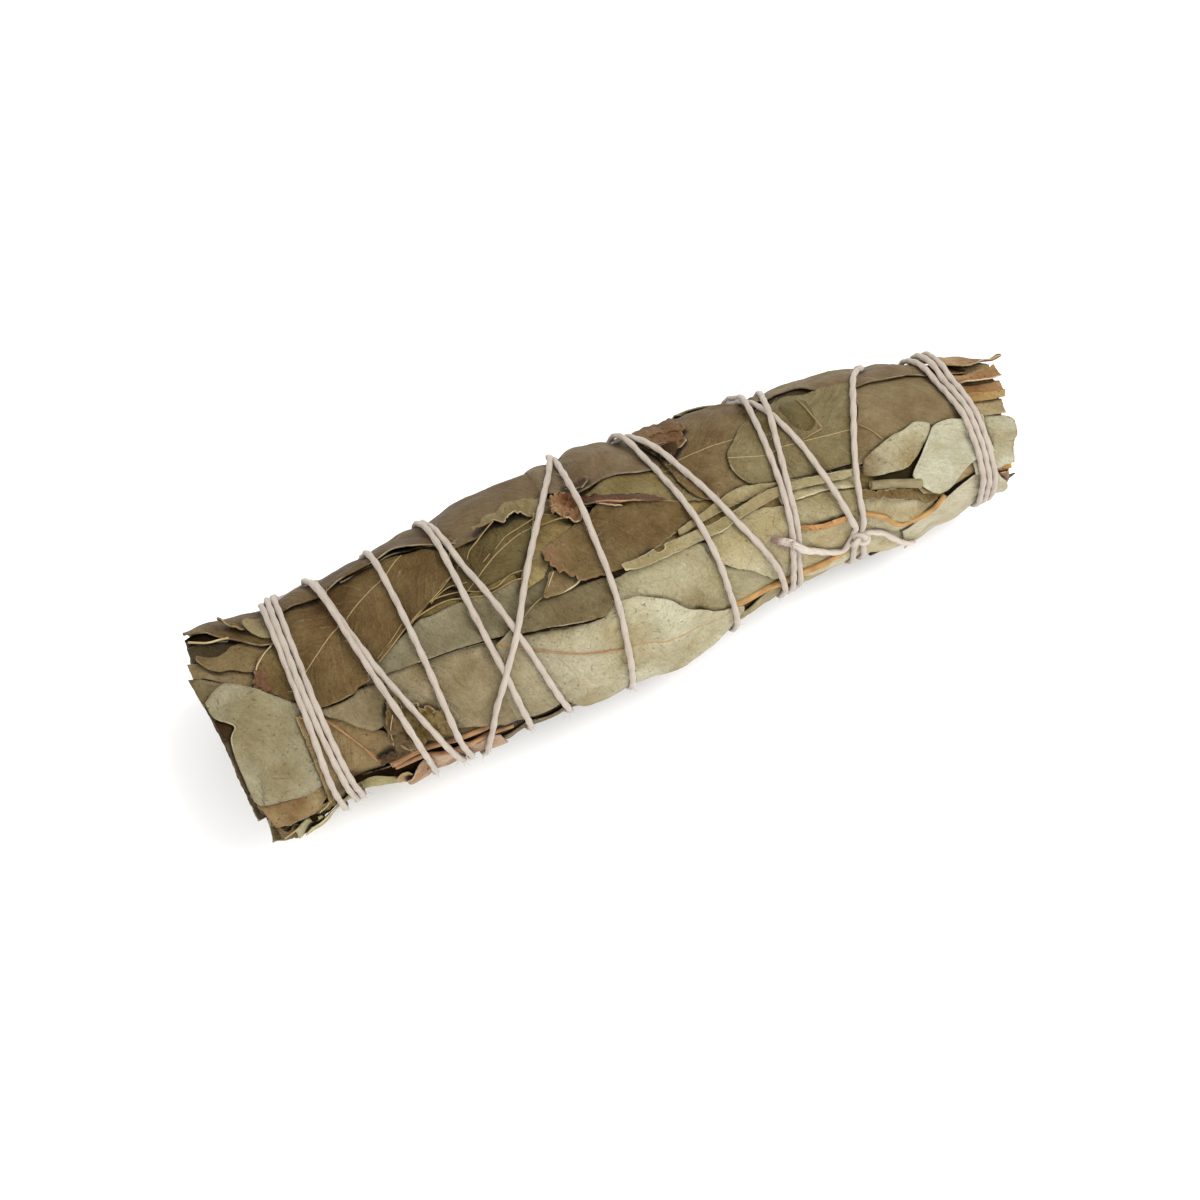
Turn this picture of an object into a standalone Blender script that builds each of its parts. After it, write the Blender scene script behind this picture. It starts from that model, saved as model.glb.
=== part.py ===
# Eucalyptus smudge stick: dried leaves laid along a few cut stems and bound with one cotton string.
# It lies along X with its blunt foot at -X and its thin tip at +X, and rests on Z = 0.
# Every piece is laid out on the bundle by three numbers: a station along X (mm), a bearing round
# the bundle (degrees: 0 on top, 90 on the -Y side, 180 underneath, -90 on the +Y side) and a lift
# above the bundle's skin (mm, negative inside).

import math

import bmesh
import bpy
import numpy as np

MM = 0.001

# Driving dimensions, in millimetres
SKIN = (  # station, half width of the skin there, sideways bow of the bundle's axis
    (-60.0, 13.8, -2.2),
    (-52.0, 12.7, -1.5),
    (-46.5, 12.2, -1.1),
    (-38.0, 12.9, -1.0),
    (-25.0, 13.3, -0.2),
    (-8.0, 13.6, 0.0),
    (4.0, 13.0, 0.8),
    (15.0, 12.0, 2.0),
    (26.0, 11.1, 2.1),
    (36.0, 10.8, 1.7),
    (45.0, 9.9, 1.4),
    (58.0, 7.8, 0.8),
)
HEIGHT_RATIO = 0.87
AXIS_SHIFT = (0.09, -0.2)  # moves the layout so that the middle of its box lies over the origin
SWELLS = ((3, 0.06, 0.35), (5, -0.11, 0.22))  # lobes round the bundle, twist per mm, height
FADE_DEPTH = 8.0  # swells and seats die out this far below the skin
WRAP_DIP = 2.9  # height of the underside where the string crosses it
SEATS = ((-54.6, 4.4), (1.5, 6.0), (40.0, 7.0))  # station and reach of each swelling that it rests on
SEAT_DROP = 4.6
MM_PER_DEGREE = 0.24  # length of one degree of bearing, taken the same all along

LEAF_THICKNESS = 0.40
LEAF_STEP = 0.76
LEAF_MARGIN = 0.5
SEAT_LAYER = 1
HIGHEST_LAYER = 5
OUTLINE_POWER = 3.4
END_WIDTH = 0.34
QUAD = (4.6, 4.2)
SEAT_QUAD = (3.3, 3.3)
ROLL_ROWS = 5
ROLL_COLUMNS_PER_TURN = 13

MAP_STATION_STEP = 0.5
MAP_BEARING_STEP = 2.0
MAP_HALF_LENGTH = 62.0

STEM_STEP = 6.0
STEM_MARGIN = 0.4

STRING_RADIUS = 0.5
STRING_GAP = 0.6
STRING_STEP = 0.5
STRING_TOLERANCE = 0.42
STRING_EASE = 3  # steps of the string over which it climbs on to what it crosses
CROSSING_REACH = 1.12
CROSSING_STEP = 1.25
CROSSING_ROUNDS = 6
OWN_STEPS = 12  # steps along the string that count as the same strand
KNOT_SIZE = (2.0, 1.6, 0.9)
KNOT_GAP = 0.3

# Tones: colour of the material and its roughness
TONES = {
    "leaf_olive": ((0.20, 0.17, 0.085), 0.85),
    "leaf_sage": ((0.36, 0.35, 0.22), 0.85),
    "leaf_khaki": ((0.32, 0.27, 0.15), 0.85),
    "leaf_brown": ((0.19, 0.13, 0.075), 0.85),
    "leaf_tan": ((0.36, 0.25, 0.14), 0.85),
    "stem_bark": ((0.30, 0.16, 0.07), 0.8),
    "cotton_string": ((0.68, 0.63, 0.58), 0.95),
}

# Leaves, outermost last, each with a base and a tip as (station, bearing), its width in mm and its
# tone. A group's first number is the highest layer that its leaves may lie in, and each leaf takes
# the highest layer there that is free of the leaves after it.
LEAF_GROUPS = (
    (0, (  # broad leaves that wrap the core
        ("wrap_leaf_back_foot", (-58.0, -96), (-1.0, -96), 21.5, "leaf_brown"),
        ("wrap_leaf_top_foot", (-57.5, 0), (-1.0, 0), 21.5, "leaf_olive"),
        ("wrap_leaf_front_foot", (-58.0, 96), (-1.0, 96), 21.5, "leaf_olive"),
        ("wrap_leaf_under_foot", (-58.5, 180), (-1.0, 180), 16.5, "leaf_khaki"),
        ("wrap_leaf_back_tip", (0.5, -96), (55.0, -96), 21.5, "leaf_brown"),
        ("wrap_leaf_top_tip", (0.5, 0), (56.0, 0), 21.5, "leaf_olive"),
        ("wrap_leaf_front_tip", (0.5, 96), (54.5, 96), 21.5, "leaf_khaki"),
        ("wrap_leaf_under_tip", (0.5, 180), (55.5, 180), 16.5, "leaf_khaki"),
    )),
    (1, (  # leaves that the bundle lies on
        ("under_leaf_foot", (-58.5, 180), (-35.0, 180), 14.0, "leaf_sage"),
        ("under_leaf_middle", (-15.0, 181), (17.0, 179), 14.0, "leaf_khaki"),
        ("under_leaf_tip", (24.0, 180), (55.5, 180), 13.0, "leaf_tan"),
    )),
    (4, (  # low front side and back side
        ("low_leaf_1", (-57.0, 120), (-26.0, 116), 12.0, "leaf_khaki"),
        ("low_leaf_2", (-28.0, 114), (7.0, 114), 12.0, "leaf_olive"),
        ("low_leaf_3", (5.0, 114), (37.0, 112), 11.0, "leaf_sage"),
        ("low_leaf_4", (34.0, 112), (56.5, 114), 9.0, "leaf_tan"),
        ("back_leaf_1", (-58.0, -122), (-29.0, -118), 13.0, "leaf_olive"),
        ("back_leaf_2", (-52.0, -88), (-18.0, -92), 12.0, "leaf_tan"),
        ("back_leaf_3", (-31.0, -122), (5.0, -118), 13.0, "leaf_sage"),
        ("back_leaf_4", (-18.0, -80), (18.0, -90), 13.0, "leaf_khaki"),
        ("back_leaf_5", (3.0, -122), (36.0, -118), 12.0, "leaf_brown"),
        ("back_leaf_6", (16.0, -78), (52.0, -92), 12.0, "leaf_olive"),
    )),
    (5, (  # front and top
        ("foot_leaf_pink_edge", (-57.5, 68), (-42.0, 78), 9.0, "leaf_brown"),
        ("foot_leaf_strip", (-58.0, -16), (-45.0, -12), 8.0, "leaf_tan"),
        ("front_leaf_speckled", (-45.0, 56), (-33.0, 64), 10.0, "leaf_olive"),
        ("front_leaf_olive", (-40.5, 46), (-18.0, 54), 12.5, "leaf_olive"),
        ("top_leaf_edge_strip", (-46.0, -54), (-21.0, -50), 11.0, "leaf_brown"),
        ("front_leaf_grey", (-5.0, 38), (20.0, 58), 13.0, "leaf_sage"),
        ("front_leaf_beige", (26.0, 58), (42.0, 57), 8.0, "leaf_tan"),
        ("tip_leaf_brown", (44.0, -20), (59.0, -18), 9.5, "leaf_brown"),
        ("tip_leaf_green", (45.0, 52), (59.5, 50), 11.0, "leaf_sage"),
        ("foot_leaf_pale", (-59.5, 33), (-46.0, 36), 16.0, "leaf_sage"),
        ("foot_leaf_tan", (-58.5, -44), (-44.0, -42), 11.0, "leaf_tan"),
        ("front_leaf_smooth", (-41.0, 18), (-11.0, 10), 12.0, "leaf_sage"),
        ("top_leaf_brown_grey", (-28.0, -50), (-2.0, -46), 11.5, "leaf_brown"),
        ("low_leaf_roll", (-42.0, 88), (-24.0, 90), 7.0, "leaf_brown"),
        ("front_leaf_large_pale", (-23.0, 54), (11.0, 76), 13.5, "leaf_sage"),
        ("front_leaf_cut_edge", (8.0, 44), (23.0, 54), 10.0, "leaf_sage"),
        ("top_leaf_ribbed", (2.0, -14), (25.0, -34), 14.0, "leaf_brown"),
        ("front_leaf_diagonal", (21.0, 12), (40.0, -10), 12.0, "leaf_olive"),
        ("tip_leaf_tan", (34.0, -2), (53.0, -6), 9.0, "leaf_tan"),
        ("foot_leaf_torn", (-54.5, -2), (-40.0, 2), 8.0, "leaf_olive"),
        ("front_leaf_big_brown", (-51.0, 10), (-26.0, -36), 17.0, "leaf_brown"),
        ("front_leaf_rib", (-27.0, -2), (-8.0, -18), 11.0, "leaf_olive"),
        ("top_leaf_narrow", (-7.0, -40), (11.0, -40), 10.0, "leaf_brown"),
        ("front_leaf_veined", (-14.0, 8), (9.5, 7), 9.0, "leaf_brown"),
        ("front_leaf_folded_strip", (1.0, 23), (31.0, 26), 4.6, "leaf_khaki"),
        ("front_leaf_round", (15.0, -4), (36.5, -8), 11.5, "leaf_khaki"),
        ("top_leaf_tip_strip", (25.0, -44), (51.0, -38), 9.0, "leaf_tan"),
        ("tip_leaf_pale_green", (40.0, 42), (53.0, 34), 9.5, "leaf_sage"),
    )),
)

# Rolled leaves of the core: the two end stations, first bearing, turns, lift of the outer and of
# the inner turn, tone
CORE_ROLLS = (
    ("core_roll_foot", (-57.5, -2.5), 40.0, 3.1, (-2.5, -7.4), "leaf_olive"),
    ("core_roll_tip", (-1.0, 54.0), 150.0, 2.0, (-2.5, -5.6), "leaf_khaki"),
)

# Stems: radius, then the route as (station, bearing, lift of the stem's middle)
STEMS = (
    (
        "core_stem_1",
        1.5,
        ((-58.5, 0, -9.6), (-20.0, 10, -9.9), (0.0, 15, -9.9), (20.0, 20, -8.4), (36.0, 20, -7.4)),
    ),
    ("core_stem_2", 1.25, ((-59.0, 120, -9.4), (-20.0, 130, -9.6), (8.0, 150, -9.2))),
    ("core_stem_3", 1.1, ((-57.8, -112, -9.1), (-10.0, -100, -9.5), (12.0, -90, -9.0))),
    ("front_stem_foot", 0.6, ((-41.5, 66, 2.5), (-33.0, 70, 2.5), (-26.5, 74, 2.5))),
    ("front_stem_middle", 0.6, ((10.5, 78, 2.5), (18.0, 84, 2.5), (27.5, 87, 2.5))),
    ("front_stem_tip", 1.2, ((33.0, 38, 3.1), (38.6, 44, 3.1))),
)

# The string's turns in winding order, each as its station low on the -Y side (bearing 100) and its
# station over the top. A turn rises by FRONT_RUN and crosses to the next by BACK_RUN, as bearings
# and shares of the way, so that it lies square to the bundle underneath.
TURN_HIGH = -58.0
FRONT_RUN = ((100.0, 0.0), (72.0, 0.04), (20.0, 0.46), (-25.0, 0.88))
BACK_RUN = ((-78.0, 0.22), (-94.0, 0.52), (-110.0, 0.82), (-132.0, 1.0), (-158.0, 1.0), (-222.0, 1.0))
BACK_SHIFTS = (-12.0, -6.0, 0.0, 6.0, 12.0)  # keeps the slanting strands from crossing at one spot
TURNS = (
    (28.5, 23.9),
    (17.2, 5.2),
    (-15.5, -23.4),
    (-31.0, -39.8),
    (-49.3, -48.7),
    (-6.8, -4.0),
    (18.6, 22.5),
    (9.6, 3.9),
    (-21.5, -24.9),
    (-29.6, -32.8),
    (-35.5, -41.3),
    (-48.0, -47.4),
    (-46.8, -46.1),
    (-28.2, -5.5),
    (20.0, 25.5),
    (30.2, 40.7),
    (48.6, 47.2),
    (50.0, 48.6),
    (51.4, 50.0),
)
# The knot and the string's two ends there, as (station, bearing)
KNOT_AT = (29.2, 72.0)
FIRST_TAIL = ((17.6, 46), (19.6, 51), (22.4, 59), (25.2, 69), (27.3, 72))
FIRST_RISE = ((28.7, 66), (28.4, 52), (27.4, 14), (25.1, -26))
LAST_TAIL = ((28.7, 92), (28.9, 80), (30.2, 72), (32.7, 74), (35.9, 84), (38.6, 96))


def skin(station):
    stations, half_widths, bows = np.array(SKIN).T
    return np.interp(station, stations, half_widths), np.interp(station, stations, bows)


def place(station, bearing, lift):
    """Point in metres of a station, a bearing and a lift; the underside swells into flat seats."""
    station, bearing, lift = np.broadcast_arrays(*(np.asarray(v, float) for v in (station, bearing, lift)))
    half_width, bow = skin(station)
    half_height = HEIGHT_RATIO * half_width
    turn = np.radians(bearing)
    fade = np.clip(1 + lift / FADE_DEPTH, 0, 1)
    swell = sum(height * np.sin(lobes * turn + twist * station) for lobes, twist, height in SWELLS)
    seat = sum(np.exp(-(((station - middle) / reach) ** 2)) for middle, reach in SEATS)
    drop = SEAT_DROP * seat * np.maximum(-np.cos(turn), 0) ** 2 * fade
    reach = lift + swell * fade
    y = bow - (half_width + reach) * np.sin(turn)
    z = WRAP_DIP + half_height + (half_height + reach) * np.cos(turn) - drop
    z = np.maximum(z, np.maximum(-lift, 0))
    return np.stack([station + AXIS_SHIFT[0], y + AXIS_SHIFT[1], z], -1) * MM


def wrapped(bearing):
    return (np.asarray(bearing) + 180.0) % 360.0 - 180.0


def outline(along):
    """Half width of a leaf at a share of its length, as a share of its greatest half width."""
    return np.maximum((1 - np.abs(2 * along - 1) ** OUTLINE_POWER) ** 0.5, END_WIDTH)


class Footprints:
    """Map of which leaf layers and string heights cover each spot of the skin."""

    def __init__(self):
        self.stations = np.arange(-MAP_HALF_LENGTH, MAP_HALF_LENGTH, MAP_STATION_STEP)
        self.bearings = np.arange(-180.0, 180.0, MAP_BEARING_STEP)
        self.station_grid, self.bearing_grid = np.meshgrid(self.stations, self.bearings, indexing="ij")
        self.taken = np.zeros((HIGHEST_LAYER + 1, *self.station_grid.shape), bool)
        self.height = np.full(self.station_grid.shape, layer_lift(-1))

    def covered(self, base, tip, width, margin):
        """Spots under a leaf's outline, grown by a margin in mm."""
        run = np.array([tip[0] - base[0], (tip[1] - base[1]) * MM_PER_DEGREE])
        length = np.hypot(*run)
        run /= length
        ds = self.station_grid - base[0]
        dq = wrapped(self.bearing_grid - (base[1] + tip[1]) / 2) + (tip[1] - base[1]) / 2
        dq = dq * MM_PER_DEGREE
        along = (ds * run[0] + dq * run[1]) / length
        across = dq * run[0] - ds * run[1]
        half = width / 2 * outline(np.clip(along, 0, 1)) + margin
        return (along > -margin / length) & (along < 1 + margin / length) & (np.abs(across) < half)

    def lay(self, base, tip, width, highest):
        """The highest layer, up to a given one, where a leaf overlaps none that is there already."""
        spots = self.covered(base, tip, width, LEAF_MARGIN)
        layer = highest
        while layer > 0 and self.taken[layer][spots].any():
            layer -= 1
        if self.taken[layer][spots].any():
            raise ValueError("no layer is free for the leaf at station %g, bearing %g" % base)
        self.taken[layer][self.covered(base, tip, width, 0.0)] = True
        self.height[spots] = np.maximum(self.height[spots], layer_lift(layer))
        return layer

    def lay_stem(self, route, radius):
        """Keeps the two top layers free for a stem, and notes its height."""
        for base, tip in zip(route[:-1], route[1:]):
            spots = self.covered(base[:2], tip[:2], 2 * radius, STEM_MARGIN)
            self.taken[HIGHEST_LAYER - 1 :] |= spots
            self.height[spots] = np.maximum(self.height[spots], max(base[2], tip[2]) + radius)

    def height_at(self, station, bearing):
        """Greatest height within about one string width of each point."""
        best = np.full(len(station), layer_lift(-1))
        for rows_away in (-2, -1, 0, 1, 2):
            for columns_away in (-2, -1, 0, 1, 2):
                row = np.round((station + MAP_HALF_LENGTH) / MAP_STATION_STEP).astype(int) + rows_away
                column = np.round((bearing + 180.0) / MAP_BEARING_STEP).astype(int) + columns_away
                row = np.clip(row, 0, len(self.stations) - 1)
                best = np.maximum(best, self.height[row, column % len(self.bearings)])
        return best


def layer_lift(layer):
    """Lift of a layer's outer face: the leaves that the bundle lies on have lift 0."""
    return (layer - SEAT_LAYER) * LEAF_STEP


def make_material(name):
    color, roughness = TONES[name]
    material = bpy.data.materials.new(name)
    material.use_nodes = True
    shader = material.node_tree.nodes["Principled BSDF"]
    shader.inputs["Base Color"].default_value = (*color, 1)
    shader.inputs["Roughness"].default_value = roughness
    shader.inputs["Metallic"].default_value = 0.0
    material.diffuse_color = (*color, 1)
    return material


def add_object(name, data, tone, bundle):
    data.materials.append(bpy.data.materials.get(tone) or make_material(tone))
    obj = bpy.data.objects.new(name, data)
    obj.parent = bundle
    bundle.users_collection[0].objects.link(obj)
    return obj


def add_sheet(name, columns, rows, shape, tone, bundle):
    """A leaf: a grid of columns by rows, bent by shape(along, across), with Solidify inwards."""
    grid = bmesh.new()
    bmesh.ops.create_grid(grid, x_segments=columns, y_segments=rows, size=1.0)
    for vert in grid.verts:
        vert.co = shape((vert.co.x + 1) / 2, -vert.co.y)
    mesh = bpy.data.meshes.new(name)
    grid.to_mesh(mesh)
    grid.free()
    mesh.shade_smooth()
    obj = add_object(name, mesh, tone, bundle)
    solidify = obj.modifiers.new("thickness", "SOLIDIFY")
    solidify.thickness = LEAF_THICKNESS * MM
    solidify.offset = -1.0
    return obj


def add_leaf(name, base, tip, width, tone, layer, bundle):
    run_s = tip[0] - base[0]
    run_q = (tip[1] - base[1]) * MM_PER_DEGREE
    length = math.hypot(run_s, run_q)
    lift = layer_lift(layer)

    def shape(along, across):
        side = across * width / 2 * float(outline(along))
        station = base[0] + run_s * along - side * run_q / length
        bearing = base[1] + (run_q * along + side * run_s / length) / MM_PER_DEGREE
        return place(station, bearing, lift)

    quad = SEAT_QUAD if "under" in name else QUAD
    columns = max(3, round(length / quad[0]))
    rows = max(2, round(width / quad[1]))
    return add_sheet(name, columns, rows, shape, tone, bundle)


def add_roll(name, stations, first_bearing, turns, lifts, tone, bundle):
    """A leaf rolled up like a scroll, from its outer turn inwards."""

    def shape(along, across):
        round_share = (across + 1) / 2
        bearing = first_bearing + 360.0 * turns * round_share
        lift = lifts[0] + (lifts[1] - lifts[0]) * round_share
        return place(stations[0] + (stations[1] - stations[0]) * along, bearing, lift)

    return add_sheet(name, ROLL_ROWS, round(turns * ROLL_COLUMNS_PER_TURN), shape, tone, bundle)


def add_tube(name, points, radius, tone, bundle):
    curve = bpy.data.curves.new(name, "CURVE")
    curve.dimensions = "3D"
    curve.bevel_depth = radius * MM
    curve.bevel_resolution = 2
    curve.use_fill_caps = True
    spline = curve.splines.new("POLY")
    spline.points.add(len(points) - 1)
    for point, co in zip(spline.points, points):
        point.co = (*co, 1)
    return add_object(name, curve, tone, bundle)


def smooth_path(knots, step):
    """Points every step mm or so on a Catmull-Rom curve through the knots (rows of numbers)."""
    knots = np.asarray(knots, float)
    padded = np.vstack([2 * knots[0] - knots[1], knots, 2 * knots[-1] - knots[-2]])
    pieces = []
    for a, b, c, d in zip(padded[:-3], padded[1:-2], padded[2:-1], padded[3:]):
        size = math.hypot(c[0] - b[0], (c[1] - b[1]) * MM_PER_DEGREE)
        t = np.linspace(0, 1, max(2, round(size / step)), endpoint=False)[:, None]
        pieces.append(
            b + 0.5 * ((c - a) * t + (2 * a - 5 * b + 4 * c - d) * t**2 + (3 * b - a - 3 * c + d) * t**3)
        )
    return np.vstack(pieces + [knots[-1:]])


def string_knots():
    """Route of the whole string as (station, bearing, rank); a higher rank lies over a lower one."""
    tail_rank = len(TURNS) + 1
    knots = [(station, bearing, tail_rank) for station, bearing in FIRST_TAIL]
    knots += [(station, bearing, 0) for station, bearing in FIRST_RISE]
    for rank, (low, high) in enumerate(TURNS):
        turned = -360.0 * rank
        if rank:
            knots += [(low + (high - low) * share, turned + bearing, rank) for bearing, share in FRONT_RUN]
        knots.append((high, turned + TURN_HIGH, rank))
        following = TURNS[rank + 1][0] if rank + 1 < len(TURNS) else LAST_TAIL[0][0]
        shift = BACK_SHIFTS[rank % len(BACK_SHIFTS)]
        for bearing, share in BACK_RUN:
            bearing += shift if share < 1 else 0
            knots.append((high + (following - high) * share, turned + bearing, rank + 0.5))
    return knots + [(station, turned - 360.0 + bearing, tail_rank) for station, bearing in LAST_TAIL]


def spread(values, reach, pick):
    """Running maximum or mean of values over a window of 2 * reach + 1."""
    padded = np.pad(values, reach, mode="edge")
    return pick(np.lib.stride_tricks.sliding_window_view(padded, 2 * reach + 1), axis=1)


def string_lifts(route, prints):
    """Lift of the string's middle: over the leaves, and over every strand of a lower rank."""
    station, bearing, rank = route.T
    floor = prints.height_at(station, bearing) + STRING_GAP + STRING_RADIUS
    order = np.arange(len(route))
    away_s = station[:, None] - station
    away_q = wrapped(bearing[:, None] - bearing) * MM_PER_DEGREE
    crossing = (np.hypot(away_s, away_q) < CROSSING_REACH) & (np.abs(order[:, None] - order) > OWN_STEPS)
    under = [np.flatnonzero(crossing[i] & (rank < rank[i])) for i in order]
    lifts = floor
    for _ in range(CROSSING_ROUNDS):
        needed = floor.copy()
        for i in order:
            if len(under[i]):
                needed[i] = max(needed[i], lifts[under[i]].max() + CROSSING_STEP)
        lifts = spread(spread(needed, STRING_EASE, np.max), STRING_EASE, np.mean)
    return lifts


def simplified(points, tolerance):
    """Indexes of the points that keep the path within tolerance of the full one."""
    keep = {0, len(points) - 1}
    spans = [(0, len(points) - 1)]
    while spans:
        first, last = spans.pop()
        if last - first < 2:
            continue
        run = points[last] - points[first]
        offsets = points[first + 1 : last] - points[first]
        share = np.clip(offsets @ run / max(run @ run, 1e-12), 0, 1)
        miss = np.linalg.norm(offsets - share[:, None] * run, axis=1)
        worst = int(miss.argmax())
        if miss[worst] > tolerance * MM:
            middle = first + 1 + worst
            keep.add(middle)
            spans += [(first, middle), (middle, last)]
    return sorted(keep)


def add_string(prints, bundle):
    """The binding string; returns the lift of its upper side at the knot."""
    route = smooth_path(string_knots(), STRING_STEP)
    lifts = string_lifts(route, prints)
    points = place(route[:, 0], route[:, 1], lifts)
    points = points[simplified(points, STRING_TOLERANCE)]
    add_tube("binding_string", points, STRING_RADIUS, "cotton_string", bundle)
    away = np.hypot(route[:, 0] - KNOT_AT[0], wrapped(route[:, 1] - KNOT_AT[1]) * MM_PER_DEGREE)
    return lifts[away < KNOT_SIZE[0]].max() + STRING_RADIUS


def add_knot(string_top, bundle):
    knot = bmesh.new()
    bmesh.ops.create_uvsphere(knot, u_segments=10, v_segments=6, radius=1.0)
    bmesh.ops.scale(knot, vec=[size * MM for size in KNOT_SIZE], verts=knot.verts)
    mesh = bpy.data.meshes.new("knot")
    knot.to_mesh(mesh)
    knot.free()
    mesh.shade_smooth()
    obj = add_object("knot", mesh, "cotton_string", bundle)
    obj.location = place(*KNOT_AT, string_top + KNOT_SIZE[2] + KNOT_GAP)
    obj.rotation_euler = (math.radians(KNOT_AT[1]), 0, 0)


def main():
    for obj in list(bpy.data.objects):
        bpy.data.objects.remove(obj, do_unlink=True)
    collection = bpy.data.collections.new("eucalyptus_smudge_stick")
    bpy.context.scene.collection.children.link(collection)
    bundle = bpy.data.objects.new("bundle", None)
    collection.objects.link(bundle)

    prints = Footprints()
    for name, radius, route in STEMS:
        points = smooth_path(route, STEM_STEP)
        add_tube(name, place(*points.T), radius, "stem_bark", bundle)
        if name.startswith("front"):
            prints.lay_stem(route, radius)
    for highest, leaves in reversed(LEAF_GROUPS):
        for name, base, tip, width, tone in reversed(leaves):
            layer = prints.lay(base, tip, width, highest)
            add_leaf(name, base, tip, width, tone, layer, bundle)
    for name, stations, first_bearing, turns, lifts, tone in CORE_ROLLS:
        add_roll(name, stations, first_bearing, turns, lifts, tone, bundle)
    string_top = add_string(prints, bundle)
    add_knot(string_top, bundle)


main()
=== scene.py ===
import math
import bpy
import numpy as np
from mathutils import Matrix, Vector


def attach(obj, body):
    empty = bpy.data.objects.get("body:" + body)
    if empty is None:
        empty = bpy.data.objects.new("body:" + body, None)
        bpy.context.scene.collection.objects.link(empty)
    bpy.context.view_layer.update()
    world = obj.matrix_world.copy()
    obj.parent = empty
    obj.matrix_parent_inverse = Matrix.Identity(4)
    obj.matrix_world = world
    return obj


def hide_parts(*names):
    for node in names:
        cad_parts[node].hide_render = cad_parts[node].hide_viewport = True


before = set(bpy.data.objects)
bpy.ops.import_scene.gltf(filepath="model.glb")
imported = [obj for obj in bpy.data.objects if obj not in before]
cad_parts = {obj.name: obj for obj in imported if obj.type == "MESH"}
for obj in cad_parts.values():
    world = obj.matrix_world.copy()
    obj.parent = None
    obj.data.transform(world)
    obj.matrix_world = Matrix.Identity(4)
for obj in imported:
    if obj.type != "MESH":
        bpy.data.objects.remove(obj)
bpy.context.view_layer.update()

# Every piece is laid out on the bundle by station (mm along it), bearing (degrees round it: 0 on top,
# 90 on the camera's side, 180 underneath) and lift (mm above its skin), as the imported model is.
mm = 0.001
print("smudge stick: packed model loaded,", len(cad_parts), "nodes")

bundle = {
    "skin": (  # station, half width, sideways bow
        (-60.0, 13.8, -2.2), (-52.0, 12.7, -1.5), (-46.5, 12.2, -1.1), (-38.0, 12.9, -1.0),
        (-25.0, 13.3, -0.2), (-8.0, 13.6, 0.0), (4.0, 13.0, 0.8), (15.0, 12.0, 2.0),
        (26.0, 11.1, 2.1), (36.0, 10.8, 1.7), (45.0, 9.9, 1.4), (58.0, 7.8, 0.8),
    ),
    "heightShare": 0.87,
    "shift": (0.09, -0.2),
    "swells": ((3, 0.06, 0.35), (5, -0.11, 0.22)),  # lobes, twist per mm, height
    "fadeDepth": 8.0,
    "underDip": 2.9,  # how far the underside stays above the table between its seats
    "seats": ((-54.6, 4.4), (1.5, 6.0), (40.0, 7.0)),  # station, reach
    "seatDrop": 4.6,
    "mmPerDegree": 0.25,
    "stringDent": (0.30, 0.9),  # depth and width of the groove that the string presses
    "softDent": (0.45, 3.2),  # depth and width of the hollow on either side of it
}


def skinAt(station):
    # half width and bow, read off the skin's rows
    rows = np.array(bundle["skin"]).T
    return np.interp(station, rows[0], rows[1]), np.interp(station, rows[0], rows[2])


def onBundle(station, bearing, lift):
    # an ellipse round the bundle's axis, its size from the skin plus the lift, with low swells; the
    # underside drops into flat seats and never goes below the table. Gives metres.
    station, bearing, lift = np.broadcast_arrays(*(np.asarray(v, float) for v in (station, bearing, lift)))
    halfWidth, bow = skinAt(station)
    halfHeight = bundle["heightShare"] * halfWidth
    turn = np.radians(bearing)
    fade = np.clip(1 + lift / bundle["fadeDepth"], 0, 1)
    swell = sum(high * np.sin(lobes * turn + twist * station) for lobes, twist, high in bundle["swells"])
    seat = sum(np.exp(-(((station - middle) / reach) ** 2)) for middle, reach in bundle["seats"])
    drop = bundle["seatDrop"] * seat * np.maximum(-np.cos(turn), 0) ** 2 * fade
    reach = lift + swell * fade
    y = bow - (halfWidth + reach) * np.sin(turn)
    z = bundle["underDip"] + halfHeight + (halfHeight + reach) * np.cos(turn) - drop
    z = np.maximum(z, np.maximum(-lift, 0))
    return np.stack([station + bundle["shift"][0], y + bundle["shift"][1], z], -1) * mm


def linear(code):
    # sRGB hex to linear: c / 12.92 near black, else ((c + 0.055) / 1.055) to the power 2.4
    parts = np.array([int(code[i:i + 2], 16) for i in (0, 2, 4)]) / 255
    parts = np.where(parts <= 0.04045, parts / 12.92, ((parts + 0.055) / 1.055) ** 2.4)
    return (*(float(part) for part in parts), 1.0)


def softNoise(x, y, seed):
    # random heights from -1 to 1 on a unit lattice, blended between four corners by 3t^2 - 2t^3
    lattice = np.random.default_rng(seed).uniform(-1, 1, (64, 64))
    x, y = np.broadcast_arrays(np.asarray(x, float), np.asarray(y, float))
    column, row = np.floor(x).astype(int), np.floor(y).astype(int)
    a, b = x - column, y - row
    a, b = a * a * (3 - 2 * a), b * b * (3 - 2 * b)
    corner = lambda i, j: lattice[(column + i) % 64, (row + j) % 64]
    near = corner(0, 0) * (1 - a) + corner(1, 0) * a
    far = corner(0, 1) * (1 - a) + corner(1, 1) * a
    return near * (1 - b) + far * b


def smoothStep(low, high, value):
    # 0 below low, 1 above high, 3t^2 - 2t^3 between them
    t = np.clip((value - low) / (high - low), 0, 1)
    return t * t * (3 - 2 * t)


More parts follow.
